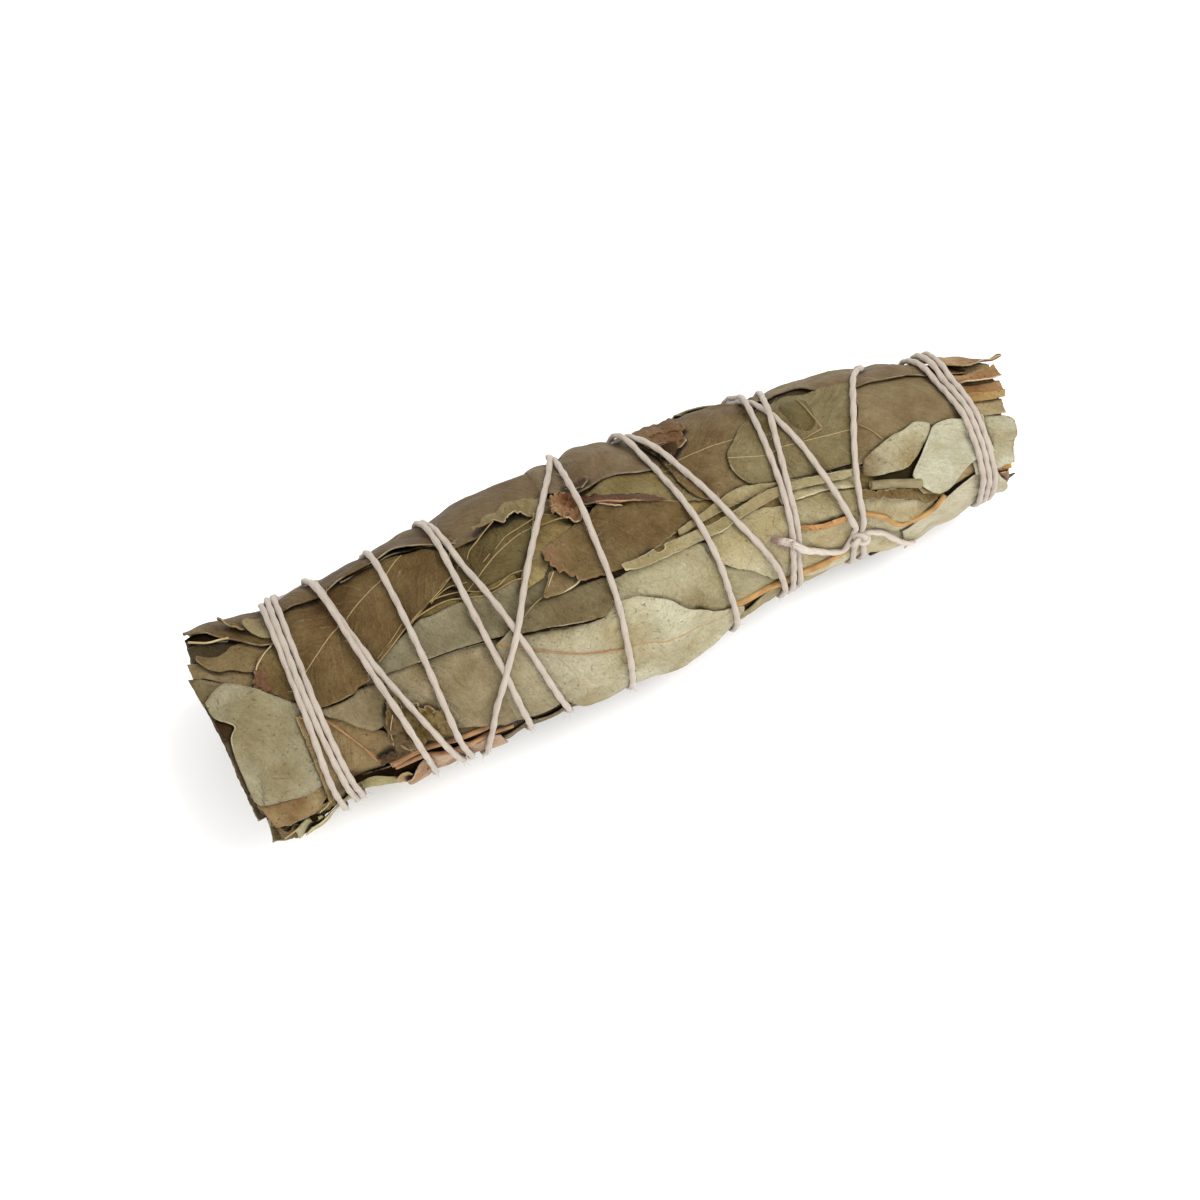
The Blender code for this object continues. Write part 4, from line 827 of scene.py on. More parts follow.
        tear=0.04, colour="c4a062"),
    leaf("tip_scrap_purple", "Pink", [(50.5, 68), (53.2, 69)], [(50.5, 94), (52.6, 95)], end=[(53.3, 74),
        (53.2, 84), (52.9, 91)], curl=(0.2, 0.1, 0, 0.1), tear=0.04, colour="8e7862"),
    leaf("tip_strip_under", "Tan", [(38.6, 46), (41.6, 52), (43.9, 52), (46.3, 48), (51, 44)], [(39.4, 53),
        (41.8, 57.5), (44.4, 60), (47.8, 59.5), (51.5, 58)], curl=(0.1, 0.4, 0.2, 0), tear=0.07, crumple=0.25,
        colour="8c7c5c"),
    leaf("tip_leaf_low_pale", "PaleGreen", [(36, 86), (38.2, 76), (40.2, 69.5), (41.6, 66), (43.4, 63),
        (45.3, 61), (47.9, 60), (51.2, 59)], [(36.5, 106), (44.7, 106), (49, 106), (52.8, 104)], end=[(51.8, 70),
        (53, 84)], curl=(0.4, 0.2, 0.4, 0.2), tear=0.06, colour="a39c86"),
    leaf("tip_leaf_green", "Sage", [(48, 15), (52, 17), (53.6, 20), (54.8, 23)], [(48, 58), (51, 60), (54.2, 61)],
        end=[(56.2, 28), (56.2, 38), (55.6, 46), (54.8, 54)], curl=(0.3, 0.3, 0, 0.5), tear=0.09, crumple=0.4,
        torn=("end",), colour="9e9b86"),
    leaf("tip_strip_tan", "Tan", [(50.2, 4), (53.8, 5), (56, 7)], [(50.4, 17), (53.4, 19), (55.2, 20)],
        curl=(0.3, 0.3, 0, 0.5), tear=0.08, crumple=0.35, colour="8f805f"),
    leaf("tip_strip_brown", "Tan", [(50.2, -15), (53, -12), (57.4, -14)], [(50.4, -3), (53.8, 1), (57, 2)],
        end=[(57.2, -6)], curl=(0.2, 0.6, 0, 0.5), tear=0.1, crumple=0.4, colour="92734e"),
    leaf("tip_strip_ochre", "Ochre", [(50.2, -3), (53.8, 0.5), (57, 1)], [(50.4, 5), (53.8, 7), (56.4, 7)],
        curl=(0.2, 0.3, 0, 0.3), tear=0.08, colour="947c4e"),
    leaf("tip_strip_pink", "Pink", [(49.6, -28), (52.5, -25), (55.2, -28), (57.8, -31)], [(50, -14), (53, -12),
        (55.5, -12), (57.8, -15)], curl=(0.3, 0.7, 0, 0.6), tear=0.1, crumple=0.45, colour="977e5a"),
    # painted shade: a dark sheet where the gap between leaves lies in shadow
    paintedShadeSheet("tip_hollow_top", [(50.2, -34), (53.6, -32)], [(50.4, -26), (53.4, -27)], crumple=0.05,
        colour="5a4022"),
    leaf("tip_leaf_brown", "Ochre", [(47, -66), (52, -63), (56, -61), (60.2, -62)], [(48.5, -38), (50.8, -31),
        (52.8, -30), (54.8, -35), (57, -42), (59.6, -49)], end=[(60.6, -56)], curl=(0.2, 0.6, 0, 0.4), tear=0.08,
        crumple=0.5, colour="8a7452"),
    leaf("tip_leaf_curled", "Tan", [(32.8, 21), (34.6, 18), (36.3, 15.5), (38.1, 13), (39.9, 12), (41.5, 9.5),
        (42.6, 10.5), (43.7, 13)], [(32.2, 30), (34, 32.5), (36.7, 34), (38.6, 34), (40.4, 30)], end=[(43.4, 17),
        (41.9, 24)], curl=(0.5, 0.8, 0, 0.8), crumple=0.3, tucked=("start",), fade=("start", "6f6045", 4.5),
        colour="959077"),
    leaf("tip_leaf_pale_green", "PaleGreen", [(43.8, 16), (45, 14), (47, 13.5), (48.6, 15.5), (51, 16),
        (51.8, 17)], [(41.6, 57), (43.9, 56.5), (46.5, 50.5), (47.8, 47.5), (50, 46), (51.6, 46)],
        start=[(43, 20), (40.9, 30), (38.9, 38.5), (38.9, 43), (40.4, 53)], curl=(0.3, 0.5, 0.9, 0.2), tear=0.03,
        crumple=0.2, colour="a19e8a"),
]


def leafSurface(row):
    # Coons patch: the blend of the two long edges plus the blend of the two end edges, less the blend
    # of the four corners. Edges are smooth paths, roughened by noise along their length.
    perDegree = bundle["mmPerDegree"]
    seed = sum(map(ord, row["name"]))

    def edge(knots, which):
        knots = np.array(knots, float) * (1, perDegree)
        path = smoothPath(knots, 0.2)
        length = runLength(path)
        fade = np.minimum(1, np.minimum(length, length[-1] - length) / 0.8)[:, None]
        rough = row["tear"] * (1.8 if which in row["torn"] else 1.0)
        coarse, fine = leafMake["tearSizes"]
        wobble = [
            softNoise(length / coarse, seed + k, seed + 3) + 0.7 * softNoise(length / fine, k, seed + 5)
            for k in (0.5, 9.5)
        ]
        return path + rough * fade * np.stack(wobble, -1)

    upper, lower = edge(row["upper"], "upper"), edge(row["lower"], "lower")
    start = edge([row["upper"][0], *row["start"], row["lower"][0]], "start")
    end = edge([row["upper"][-1], *row["end"], row["lower"][-1]], "end")
    half = np.array([0.5])
    across = np.hypot(*(alongPath(upper, half) - alongPath(lower, half))[0])
    size = 0.5 * (runLength(upper)[-1] + runLength(lower)[-1]), max(across, 0.6 * np.hypot(*(start[0] - start[-1])))

    def surface(u, v):
        # u from foot to tip, v from the upper to the lower edge, both 0 to 1; gives mm along and round
        u, v = u[..., None], v[..., None]
        top, bottom = alongPath(upper, u[..., 0]), alongPath(lower, u[..., 0])
        near, far = alongPath(start, v[..., 0]), alongPath(end, v[..., 0])
        corners = (1 - u) * ((1 - v) * upper[0] + v * lower[0]) + u * ((1 - v) * upper[-1] + v * lower[-1])
        return (1 - v) * top + v * bottom + (1 - u) * near + u * far - corners

    return surface, size, seed


def leafGrid(surface, size, step):
    # shares u along and v across, and the flat point at each; length / step lines, and six at least
    rows, columns = (max(6, int(length / step) + 1) for length in size)
    u, v = np.meshgrid(np.linspace(0, 1, rows), np.linspace(0, 1, columns), indexing="ij")
    return u, v, surface(u, v)


def edgeDistances(flat):
    # mm from each grid point to the upper, lower, start and end edges, along the grid lines
    along = np.hypot(*np.moveaxis(np.diff(flat, axis=0), -1, 0))
    across = np.hypot(*np.moveaxis(np.diff(flat, axis=1), -1, 0))
    fromUpper = np.pad(np.cumsum(across, axis=1), ((0, 0), (1, 0)))
    fromStart = np.pad(np.cumsum(along, axis=0), ((1, 0), (0, 0)))
    return fromUpper, fromUpper[:, -1:] - fromUpper, fromStart, fromStart[-1:] - fromStart


def ribPosition(flat, row):
    # mm along the rib and mm away from it, signed, by the nearest point of the rib's path
    perDegree = bundle["mmPerDegree"]
    rows = len(flat) - 1
    knots = row["rib"] and np.array(row["rib"], float) * (1, perDegree)
    if knots is None:
        middle = (flat[:, 0] + flat[:, -1]) / 2
        knots = middle[[0, rows // 4, rows // 2, 3 * rows // 4, rows]]
    path = smoothPath(knots, 0.25)
    ahead = np.gradient(path, axis=0)
    ahead /= np.hypot(*ahead.T)[:, None]
    length = runLength(path)
    points = flat.reshape(-1, 2)
    parts = np.array_split(points, 8)  # a few at a time, to spare memory
    nearest = np.concatenate([((part[:, None] - path) ** 2).sum(-1).argmin(1) for part in parts])
    offset = points - path[nearest]
    along = length[nearest] + (offset * ahead[nearest]).sum(-1)
    across = ahead[nearest, 0] * offset[:, 1] - ahead[nearest, 1] * offset[:, 0]
    return along, across


def crumple(flat, row, seed):
    # 0 to 1: broad waves with a finer ripple, and sharper folds where the size is small
    s, q = flat[..., 0] / row["crumpleSize"], flat[..., 1] / row["crumpleSize"]
    waves = softNoise(s, q * 1.4, seed) + 0.5 * softNoise(2.3 * s, 2.6 * q, seed + 1)
    folds = 1 - 2 * np.abs(softNoise(1.3 * s + 5, 1.5 * q, seed + 2))
    sharp = float(np.clip(2.5 - row["crumpleSize"], 0, 1))
    creases = np.abs(softNoise(0.7 * s, 0.8 * q, seed + 15)) ** 0.7
    creases = creases + 0.5 * np.abs(softNoise(1.6 * s + 3, 1.7 * q, seed + 16))
    s, q = flat[..., 0], flat[..., 1]
    ripple = softNoise(s / 0.9, q / 0.6, seed + 6) + 0.6 * softNoise(s / 0.5, q / 0.4, seed + 8)
    ripple = leafMake["ripple"] / row["crumple"] * ripple
    return 0.5 + 0.3 * waves + 0.2 * folds + sharp * (1.3 * creases - 0.7) + ripple


def restLift(station, bearing):
    # the core's lift, blended from the top's to the front's and then to the underside's by bearing
    rows = np.array(leafMake["restLift"], float).T
    bearing = (bearing + 180.0) % 360.0 - 180.0
    top, front, low = (np.interp(station, rows[0], values) for values in rows[1:])
    share = smoothStep(*leafMake["lowTurn"], bearing)
    front = front * (1 - share) + low * share
    share = smoothStep(*leafMake["frontTurn"], bearing)
    side = top * (1 - share) + front * share
    share = smoothStep(*leafMake["underTurn"], np.abs(bearing))
    return side * (1 - share) + leafMake["restUnder"] * share


def footprint(flat):
    # the map's cells that a leaf covers
    mask = np.zeros(stationGrid.shape, bool)
    mask[mapCells(flat[..., 0], flat[..., 1] / bundle["mmPerDegree"])] = True
    return mask


sides = ("upper", "lower", "start", "end")
tuckDepth, tuckReach = leafMake["tuck"]
for row in leafRows:
    row["surface"], row["size"], row["seed"] = leafSurface(row)
    row["raster"] = leafGrid(row["surface"], row["size"], leafMake["rasterStep"])[2]
    row["print"] = row["shading"] = footprint(row["raster"])
    fromEdges = zip(sides, edgeDistances(row["raster"]))
    inside = [away > tuckReach * 0.7 for side, away in fromEdges if side in row["tucked"]]
    if inside:  # a tucked edge casts no shade
        row["shading"] = footprint(row["raster"][np.logical_and.reduce(inside)])
later, shading = np.zeros(stationGrid.shape, bool), np.zeros(stationGrid.shape, bool)
for row in reversed(leafRows):
    row["open"] = 1 - blurred(grown(later.astype(float), 3), 2)  # 1 where nothing lies on it
    row["gap"] = blurred(shading.astype(float), leafMake["gapWidth"])  # painted shade's mask: a half where another leaf's edge is
    later |= row["print"]
    shading |= row["shading"]


def layLeaf(row):
    # lift = a smoothed cover of what lies below, plus thickness and crumple, plus a curl that grows with the
    # square of the nearness to an open edge, less the tuck, and rolled over where the row says so
    perDegree = bundle["mmPerDegree"]
    bridge, ease = leafMake["bed"]
    bed = blurred(grown(heights, bridge), ease)
    seed = row["seed"]

    def lifts(flat):
        station, bearing = flat[..., 0], flat[..., 1] / perDegree
        wave = row["crumple"] * crumple(flat, row, seed)
        base = surfaceMap["layerGap"] + leafMake["thickness"] + row["raised"]
        return readMap(bed, station, bearing) + base + wave

    step = leafMake[row["step"] or ("fineStep" if row["crumpleSize"] < 2 else "gridStep")]
    u, v, flat = leafGrid(row["surface"], row["size"], step)
    station, bearing = flat[..., 0], flat[..., 1] / perDegree
    lift = lifts(flat)
    distances = edgeDistances(flat)
    near = lambda side, width: np.clip(1 - distances[sides.index(side)] / width, 0, 1)
    free = readMap(row["open"], station, bearing) * (1 - leafMake["heldShare"] * readMap(heldDown, station, bearing))
    for high, side, axis, size in zip(row["curl"], sides, (u, u, v, v), np.repeat(row["size"], 2)):
        uneven = 0.6 + 0.75 * softNoise(axis * size / leafMake["curlSize"], seed % 50, seed + 7)
        lift = lift + high * np.clip(uneven, 0, None) * near(side, leafMake["curlReach"]) ** 2 * free
    for side in row["tucked"]:
        lift = lift - tuckDepth * near(side, tuckReach) ** 2
    if row["roll"]:
        # the edge rolls over: beyond the width it runs round a circle of the given radius
        which, width, radius = row["roll"]
        away = distances[sides.index(which)]
        inward = (flat[:, -1:] - flat[:, :1]) * (1 if which == "upper" else -1)
        inward = inward / np.hypot(inward[..., 0], inward[..., 1])[..., None]
        turn = np.clip(width - away, 0, None) * free / radius
        lift = lift + radius * (1 - np.cos(turn))
        flat = flat + inward * ((turn - np.sin(turn)) * radius)[..., None]
        station, bearing = flat[..., 0], flat[..., 1] / perDegree
    raster = row["raster"]
    np.maximum.at(heights, mapCells(raster[..., 0], raster[..., 1] / perDegree), lifts(raster))
    points = onBundle(station, bearing, lift - readMap(dent, station, bearing))
    along, across = ribPosition(flat, row)
    if row["rib"] is None:
        across = across + 40.0  # no rib shows
    count = lift.size
    torn = sum(near(side, leafMake["tornReach"]) for side in row["torn"]) + 0 * u
    colour = linear(row["colour"])[:3] + np.zeros((count, 3))
    if row["fade"]:
        side, code, width = row["fade"]
        share = near(side, width).ravel()[:, None]
        colour = colour * (1 - share) + share * linear(code)[:3]
    # painted shade in the gap beside the edge of a leaf that lies on this one, patchy along the edge
    patchy = np.clip(0.6 + 0.85 * softNoise(station / 2.5, bearing / 9, seed + 11), 0.12, 1)
    gap = leafMake["gapShade"] * patchy * np.clip(readMap(row["gap"], station, bearing) / 0.5, 0, 1) ** 1.8
    shade = row["shade"] + (1 - row["shade"]) * gap
    attributes = {
        "leafPoint": np.stack([along, across, np.full(count, 7.3 * (seed % 97))], -1),
        "leafColour": colour,
        "rim": np.minimum.reduce(distances).ravel(),
        "marks": np.stack([torn.ravel(), np.full(count, row["orange"]), shade.ravel()], -1),
    }
    name, tone = row["name"], row["tone"]
    piece = meshFrom(name, points, gridFaces(*u.shape), attributes, leafMaterials[tone], leafMake["thickness"])
    declare(piece, leafTones[tone][4], *packed(name))


heights = restLift(stationGrid, bearingGrid)
for row in leafRows:
    layLeaf(row)
print("smudge stick:", len(leafRows), "leaves laid")


def surfaceNormal(station, bearing):
    # the way a point moves as its lift grows, at length 1
    out = onBundle(station, bearing, 3.0) - onBundle(station, bearing, 2.0)
    return out / np.linalg.norm(out, axis=-1, keepdims=True)


def framesAlong(points, up):
    # unit vectors at each point of a path: ahead, sideways, and up as near to the given way as it can be
    ahead = np.gradient(points, axis=0)
    ahead /= np.linalg.norm(ahead, axis=1, keepdims=True)
    side = np.cross(up, ahead)
    side /= np.linalg.norm(side, axis=1, keepdims=True)
    return ahead, side, np.cross(ahead, side)


def tubeMesh(points, up, wide, high, sides):
    # rings of wide * cos(a) sideways and high * sin(a) upwards round each point of a path, both in mm and
    # either one number a ring or a table of rings and sides; the ends are closed flat
    _, side, over = framesAlong(points, up)
    angle = 2 * np.pi * np.arange(sides) / sides
    wide, high = (np.broadcast_to(size, (len(points), sides)) for size in (wide, high))
    sideways = (wide * np.cos(angle))[..., None] * side[:, None]
    upwards = (high * np.sin(angle))[..., None] * over[:, None]
    rings = points[:, None] + mm * (sideways + upwards)
    faces = gridFaces(len(points), sides, closed=True)[:, ::-1].tolist()
    count = len(points) * sides
    return rings, faces + [list(range(sides)), list(range(count - 1, count - sides - 1, -1))], angle


def joined(parts):
    # several (points, faces, attributes) as one
    first, points, faces, attributes = 0, [], [], {}
    for somePoints, someFaces, someAttributes in parts:
        somePoints = somePoints.reshape(-1, 3)
        points.append(somePoints)
        faces += [[first + k for k in face] for face in someFaces]
        for key, values in someAttributes.items():
            attributes.setdefault(key, []).append(values)
        first += len(somePoints)
    return np.vstack(points), faces, {key: np.concatenate(values) for key, values in attributes.items()}


# stems: radius, material, route as (station, bearing, lift of the middle); those of the front take their
# lift from the leaves they lie on, and the number is how deep they are bedded
stems = {
    "core_stem_1": (1.5, greyStem, (
        (-58.6, 0, -8.2), (-20.0, 10, -9.4), (0.0, 15, -9.4), (20.0, 20, -8.0), (36.0, 20, -7.0),
    )),
    "core_stem_2": (1.25, ochreStem, ((-59.0, 120, -8.6), (-20.0, 130, -9.4), (8.0, 150, -9.0))),
    "core_stem_3": (1.1, reddishStem, ((-57.9, -112, -8.6), (-10.0, -100, -9.3), (12.0, -90, -8.9))),
    "front_stem_foot": (0.42, reddishStem, (
        (-40.9, 67, 0.2), (-36.5, 70, 0.2), (-32.8, 74, 0.3), (-28.5, 74, 0.4), (-25.4, 73, 0.6),
    )),
    "front_stem_beside": (0.34, reddishStem, (
        (-40.5, 73, 0.1), (-37.0, 75, 0.1), (-33.0, 79, 0.1), (-28.7, 81, 0.3), (-24.0, 86, 0.4),
    )),
    "front_stem_middle": (0.5, ochreStem, (
        (9.5, 77, 0.8), (14.0, 81, 0.5), (18.0, 84, 0.4), (23.0, 86, 0.4), (27.8, 87, 0.7),
    )),
    "front_stem_tip": (0.62, greyStem, (
        (32.6, 37, 0.5), (35.0, 40, 0.5), (37.5, 43.5, 0.5), (39.4, 46.5, 0.7),
    )),
    "front_twig_fork": (0.36, ochreStem, (
        (30.2, 52, 0.3), (32.0, 57, 0.2), (33.4, 62, 0.2), (35.2, 72, 0.2), (37.3, 73, 0.3), (40.5, 69, 0.3),
        (42.5, 62, 0.5),
    )),
    # leaf ribs that the blade has broken away from
    "loose_rib_1": (0.09, ribFibre, (
        (-37.6, 14, 0.03), (-35.5, 10, 0.0), (-32.6, 4, 0.0), (-29.2, -1, 0.0), (-26.6, -5, 0.0),
        (-24.4, -10, 0.03),
    )),
    "orange_rib_foot": (0.12, reddishStem, (
        (-46.8, 29, 0.0), (-45.6, 36, 0.02), (-44.4, 44, 0.02), (-43.2, 53, 0.0), (-42.4, 61, -0.05),
    )),
    "orange_rib_front": (0.10, reddishStem, (
        (-19.6, 37.5, 0.0), (-15.8, 45.5, 0.02), (-12.2, 52, 0.02), (-9.0, 56.5, 0.0), (-6.0, 60.5, -0.05),
    )),
    "torn_rib_foot": (0.055, creamEdge, ((-39.9, 52, 0.05), (-39.6, 44, 0.0), (-38.6, 38, 0.05))),
    "torn_rib_low": (0.055, creamEdge, ((-38.8, 55, 0.05), (-37.6, 61, 0.0), (-36.4, 66, 0.05))),
    "folded_rib_low": (0.12, creamEdge, (
        (-14.8, 19.5, 0.05), (-12.6, 20.6, 0.0), (-10.6, 20.0, 0.0), (-9.6, 18.6, 0.05),
    )),
    "folded_rib_side": (0.08, creamEdge, ((-14.6, 19, 0.05), (-13.6, 15, 0.0), (-12.4, 10.6, 0.05))),
    "loose_rib_2": (0.065, ribFibre, ((-37.6, 12, 0.03), (-35.2, 7, 0.0), (-32.8, 1, 0.03))),
    "loose_rib_3": (0.09, ribFibre, (
        (-32.6, 4, 0.03), (-30.6, 2, 0.0), (-26.6, 1, 0.0), (-24.1, 4, 0.0), (-21.5, 7, 0.0), (-19.6, 7, 0.0),
        (-17.3, 6.5, 0.0), (-15.8, 8, 0.03),
    )),
    "loose_rib_4": (0.08, ribFibre, (
        (-30.0, 0, 0.03), (-28.4, -2, 0.0), (-26.4, -2, 0.0), (-23.9, 0, 0.0), (-22.0, 4, 0.0),
        (-19.8, 5.5, 0.0), (-17.6, 3, 0.0), (-15.2, 4, 0.03),
    )),
    "loose_rib_5": (0.07, ribFibre, ((-28.4, -1, 0.03), (-27.3, -3, 0.0), (-25.2, -5, 0.0), (-22.9, -4, 0.03))),
    "loose_rib_6": (0.08, ribFibre, (
        (-17.8, -14, 0.03), (-15.8, -19, 0.0), (-13.6, -21, 0.0), (-11.3, -22, 0.03),
    )),
    "loose_rib_7": (0.09, ribFibre, (
        (-21.7, -16, 0.03), (-20.9, -20, 0.0), (-19.6, -22.5, 0.0), (-16.4, -29, 0.03),
    )),
    "loose_rib_8": (0.09, ribFibre, ((-20.0, -10, 0.03), (-19.3, -11.5, 0.0), (-18.7, -13, 0.03))),
    "loose_rib_9": (0.09, ribFibre, ((-12.4, -18, 0.03), (-9.4, -14, 0.0), (-7.4, -10, 0.03))),
    "loose_rib_10": (0.08, ribFibre, ((-18.2, 24, 0.03), (-16.6, 21, 0.0), (-15.0, 19, 0.03))),
    "loose_rib_11": (0.09, ribFibre, ((28.3, -27, 0.03), (28.7, -18, 0.0), (29.0, -11, 0.0), (29.4, -4, 0.03))),
    "loose_rib_12": (0.09, ribFibre, ((26.0, -1, 0.03), (27.6, -2, 0.0), (29.3, -3.5, 0.03))),
    "loose_rib_13": (0.09, ribFibre, ((34.3, 1, 0.03), (35.4, 6, 0.0), (36.4, 13, 0.03))),
    "foot_rib_1": (0.14, creamEdge, (
        (-59.0, -38, 0.0), (-57.8, -35, 0.0), (-56.6, -32.5, 0.0), (-55.2, -31.5, 0.05), (-54.0, -30.5, 0.12),
    )),
    "foot_rib_2": (0.10, creamEdge, (
        (-49.3, -18, 0.06), (-50.6, -15, 0.02), (-51.9, -10, 0.02), (-52.4, -7, 0.06),
    )),
    "foot_rib_3": (0.11, creamEdge, ((-57.2, 80.5, 0.0), (-56.0, 79, 0.0), (-54.9, 78.5, 0.1))),
    "foot_rib_4": (0.10, creamEdge, ((-51.8, 79, 0.0), (-50.5, 77, 0.0), (-49.8, 74, 0.08))),
    "torn_rib_red": (0.12, reddishStem, (
        (-3.4, -13, 0.1), (-1.9, -10.5, 0.06), (-0.4, -7.5, 0.06), (1.7, -5, 0.12),
    )),
    "loose_rib_14": (0.08, ribFibre, ((-39.0, 53, 0.03), (-38.2, 58, 0.0), (-37.6, 65, 0.03))),
}
stemMake = {"sides": 14, "step": 0.32}
stemTops = np.full(stationGrid.shape, -99.0)
leafTop = blurred(grown(heights, 2), 2.0) - dent
for name, (radius, material, knots) in stems.items():
    knots = np.array(knots) * (1, bundle["mmPerDegree"], 1)
    path = smoothPath(knots, stemMake["step"])
    station, bearing, lift = path[:, 0], path[:, 1] / bundle["mmPerDegree"], path[:, 2]
    if not name.startswith("core"):
        bed = np.pad(readMap(leafTop, station, bearing), 4, mode="edge")
        lift = np.convolve(bed, np.ones(9) / 9, "valid") + radius - lift
        across = np.linspace(-1, 1, 9)[:, None]
        cells = mapCells(station + 0 * across, bearing + across * radius / bundle["mmPerDegree"])
        np.maximum.at(stemTops, cells, lift + radius * np.sqrt(1 - 0.9 * across**2))
    points = onBundle(station, bearing, lift)
    along = stemMake["step"] * np.arange(len(path))[:, None]
    angle = 2 * np.pi * np.arange(stemMake["sides"]) / stemMake["sides"]
    uneven = 1 + 0.07 * softNoise(along / 2.2, 2 * np.cos(angle) + 9, len(name)) + 0.05 * np.cos(5 * angle + along)
    up, uneven = surfaceNormal(station, bearing), radius * uneven
    rings, faces, _ = tubeMesh(points, up, uneven, uneven, stemMake["sides"])
    # both ends are cut across: a ring at the same place and a little narrower starts the paler wood, and
    # the middle sinks into a pith hole
    shrink = [0.98, 0.55, 0.35, 0.02]
    sink = [0.0, 0.04, 0.5 * radius, 0.6 * radius]
    caps = [[], []]
    for end, (at, inner) in enumerate(((0, 1), (-1, -2))):
        inwards = (points[inner] - points[at]) / np.linalg.norm(points[inner] - points[at])
        caps[end] = [points[at] + (rings[at] - points[at]) * f + inwards * deep * mm for f, deep in zip(shrink, sink)]
    whole = np.stack([*caps[0][::-1], *rings, *caps[1]])
    isCut = np.concatenate([[0.2, 0.4, 1, 1], np.zeros(len(rings)), [1, 1, 0.4, 0.2]])
    runs = np.concatenate([[0] * 4, along.ravel(), [along[-1, 0]] * 4])
    isCut, runs = (values[:, None] * np.ones(stemMake["sides"]) for values in (isCut, runs))
    attributes = {
        "stemPoint": np.stack([runs, radius * angle + 0 * runs, 0 * runs], -1).reshape(-1, 3),
        "cut": isCut.ravel(),
    }
    faces = gridFaces(len(whole), stemMake["sides"], closed=True)[:, ::-1]
    piece = meshFrom(name, whole, faces, attributes, material)
    declare(piece, "stem_bark", *packed(name))


print("smudge stick: stems laid")


def strandLifts():
    # each point of the string rests on the leaves, or a flattened string's height over any strand of a
    # lower rank that it crosses; a few rounds settle the places where three meet
    station, bearing, rank = route.T
    ground = np.maximum(blurred(grown(heights, 2), 1.2) - dent, grown(stemTops, 2))
    overTop = smoothStep(*twine["deepTurn"], -((bearing + 180.0) % 360.0 - 180.0))
    floor = readMap(ground, station, bearing) + twine["radius"] - twine["sink"] - twine["deepSink"] * overTop
    order = np.arange(len(route))
    awayRound = (bearing[:, None] - bearing + 180.0) % 360.0 - 180.0
    away = np.hypot(station[:, None] - station, awayRound * bundle["mmPerDegree"])
    meets = (away < twine["crossingReach"]) & (np.abs(order[:, None] - order) > 12)
    under = [np.flatnonzero(meets[i] & (rank < rank[i])) for i in order]
    # two strands side by side touch; the nearer their middles, the higher one rides: a circle's arc
    rise = [twine["crossingStep"] * np.sqrt(1 - (away[i, under[i]] / twine["crossingReach"]) ** 2) for i in order]

    def spread(values, pick):
        windows = np.lib.stride_tricks.sliding_window_view(np.pad(values, 3, mode="edge"), 7)
        return pick(windows, axis=1)

    lifts = floor
    for _ in range(5):
        needed = floor.copy()
        for i in order:
            if len(under[i]):
                needed[i] = max(needed[i], (lifts[under[i]] + rise[i]).max())
        lifts = spread(spread(needed, np.max), np.mean)
    return lifts


lifts = strandLifts()
length = runLength(route * (1, bundle["mmPerDegree"], 1))
ringAt = np.linspace(0, length[-1], int(length[-1] / twine["ringStep"]))
ringStation, ringBearing, ringLift = (np.interp(ringAt, length, values) for values in (*route.T[:2], lifts))
ringStation = ringStation + 0.05 * softNoise(ringAt / 2.3, 3.5, 41)
stringPath = onBundle(ringStation, ringBearing, ringLift + 0.03 * softNoise(ringAt / 1.7, 8.5, 42))
stringUp = surfaceNormal(ringStation, ringBearing)
toEnd = np.minimum(ringAt, ringAt[-1] - ringAt)
singe = smoothStep(1.7, 0.5, ringAt) * 0.9 + smoothStep(1.2, 0.2, ringAt[-1] - ringAt) * 0.3
bleach = smoothStep(26.0, 16.0, ringAt) + smoothStep(18.0, 8.0, ringAt[-1] - ringAt)
angle = 2 * np.pi * np.arange(twine["sides"]) / twine["sides"]
turned = twine["plies"] * (angle - 2 * np.pi * ringAt[:, None] / twine["plyTurn"])
plied = 1 - twine["plyDepth"] * (1 - np.abs(np.cos(turned / 2))) * 2.2
size = twine["radius"] * (1 + 0.05 * softNoise(ringAt / 1.1, 1.5, 43) + 0.04 * softNoise(ringAt / 6.0, 5.5, 44))
size = size * (1 + 0.22 * smoothStep(14.0, 9.0, ringAt)) * np.clip(toEnd / 0.5, 0.25, 1) ** 0.5
size = size[:, None] * plied
wide, high = size * (1 + twine["flat"] / 2), size * (1 - twine["flat"] / 2)
rings, faces, _ = tubeMesh(stringPath, stringUp, wide, high, twine["sides"])


def stringMarks(along, singe, bleach):
    # for each ring: mm along the string and mm round it, how singed it is and how bleached, 0 to 1
    shape = (len(along), twine["sides"])
    along, singe, bleach = (np.broadcast_to(np.reshape(v, (-1, 1)), shape) for v in (along, singe, bleach))
    place = np.stack([along, twine["radius"] * angle + 0 * along, 0 * along], -1)
    return {"stringPoint": place.reshape(-1, 3), "singe": singe.ravel(), "bleach": bleach.ravel()}


string = meshFrom("binding_string", rings, faces, stringMarks(ringAt, singe, bleach), stringCotton)
declare(string, "cotton_string", "binding_string")

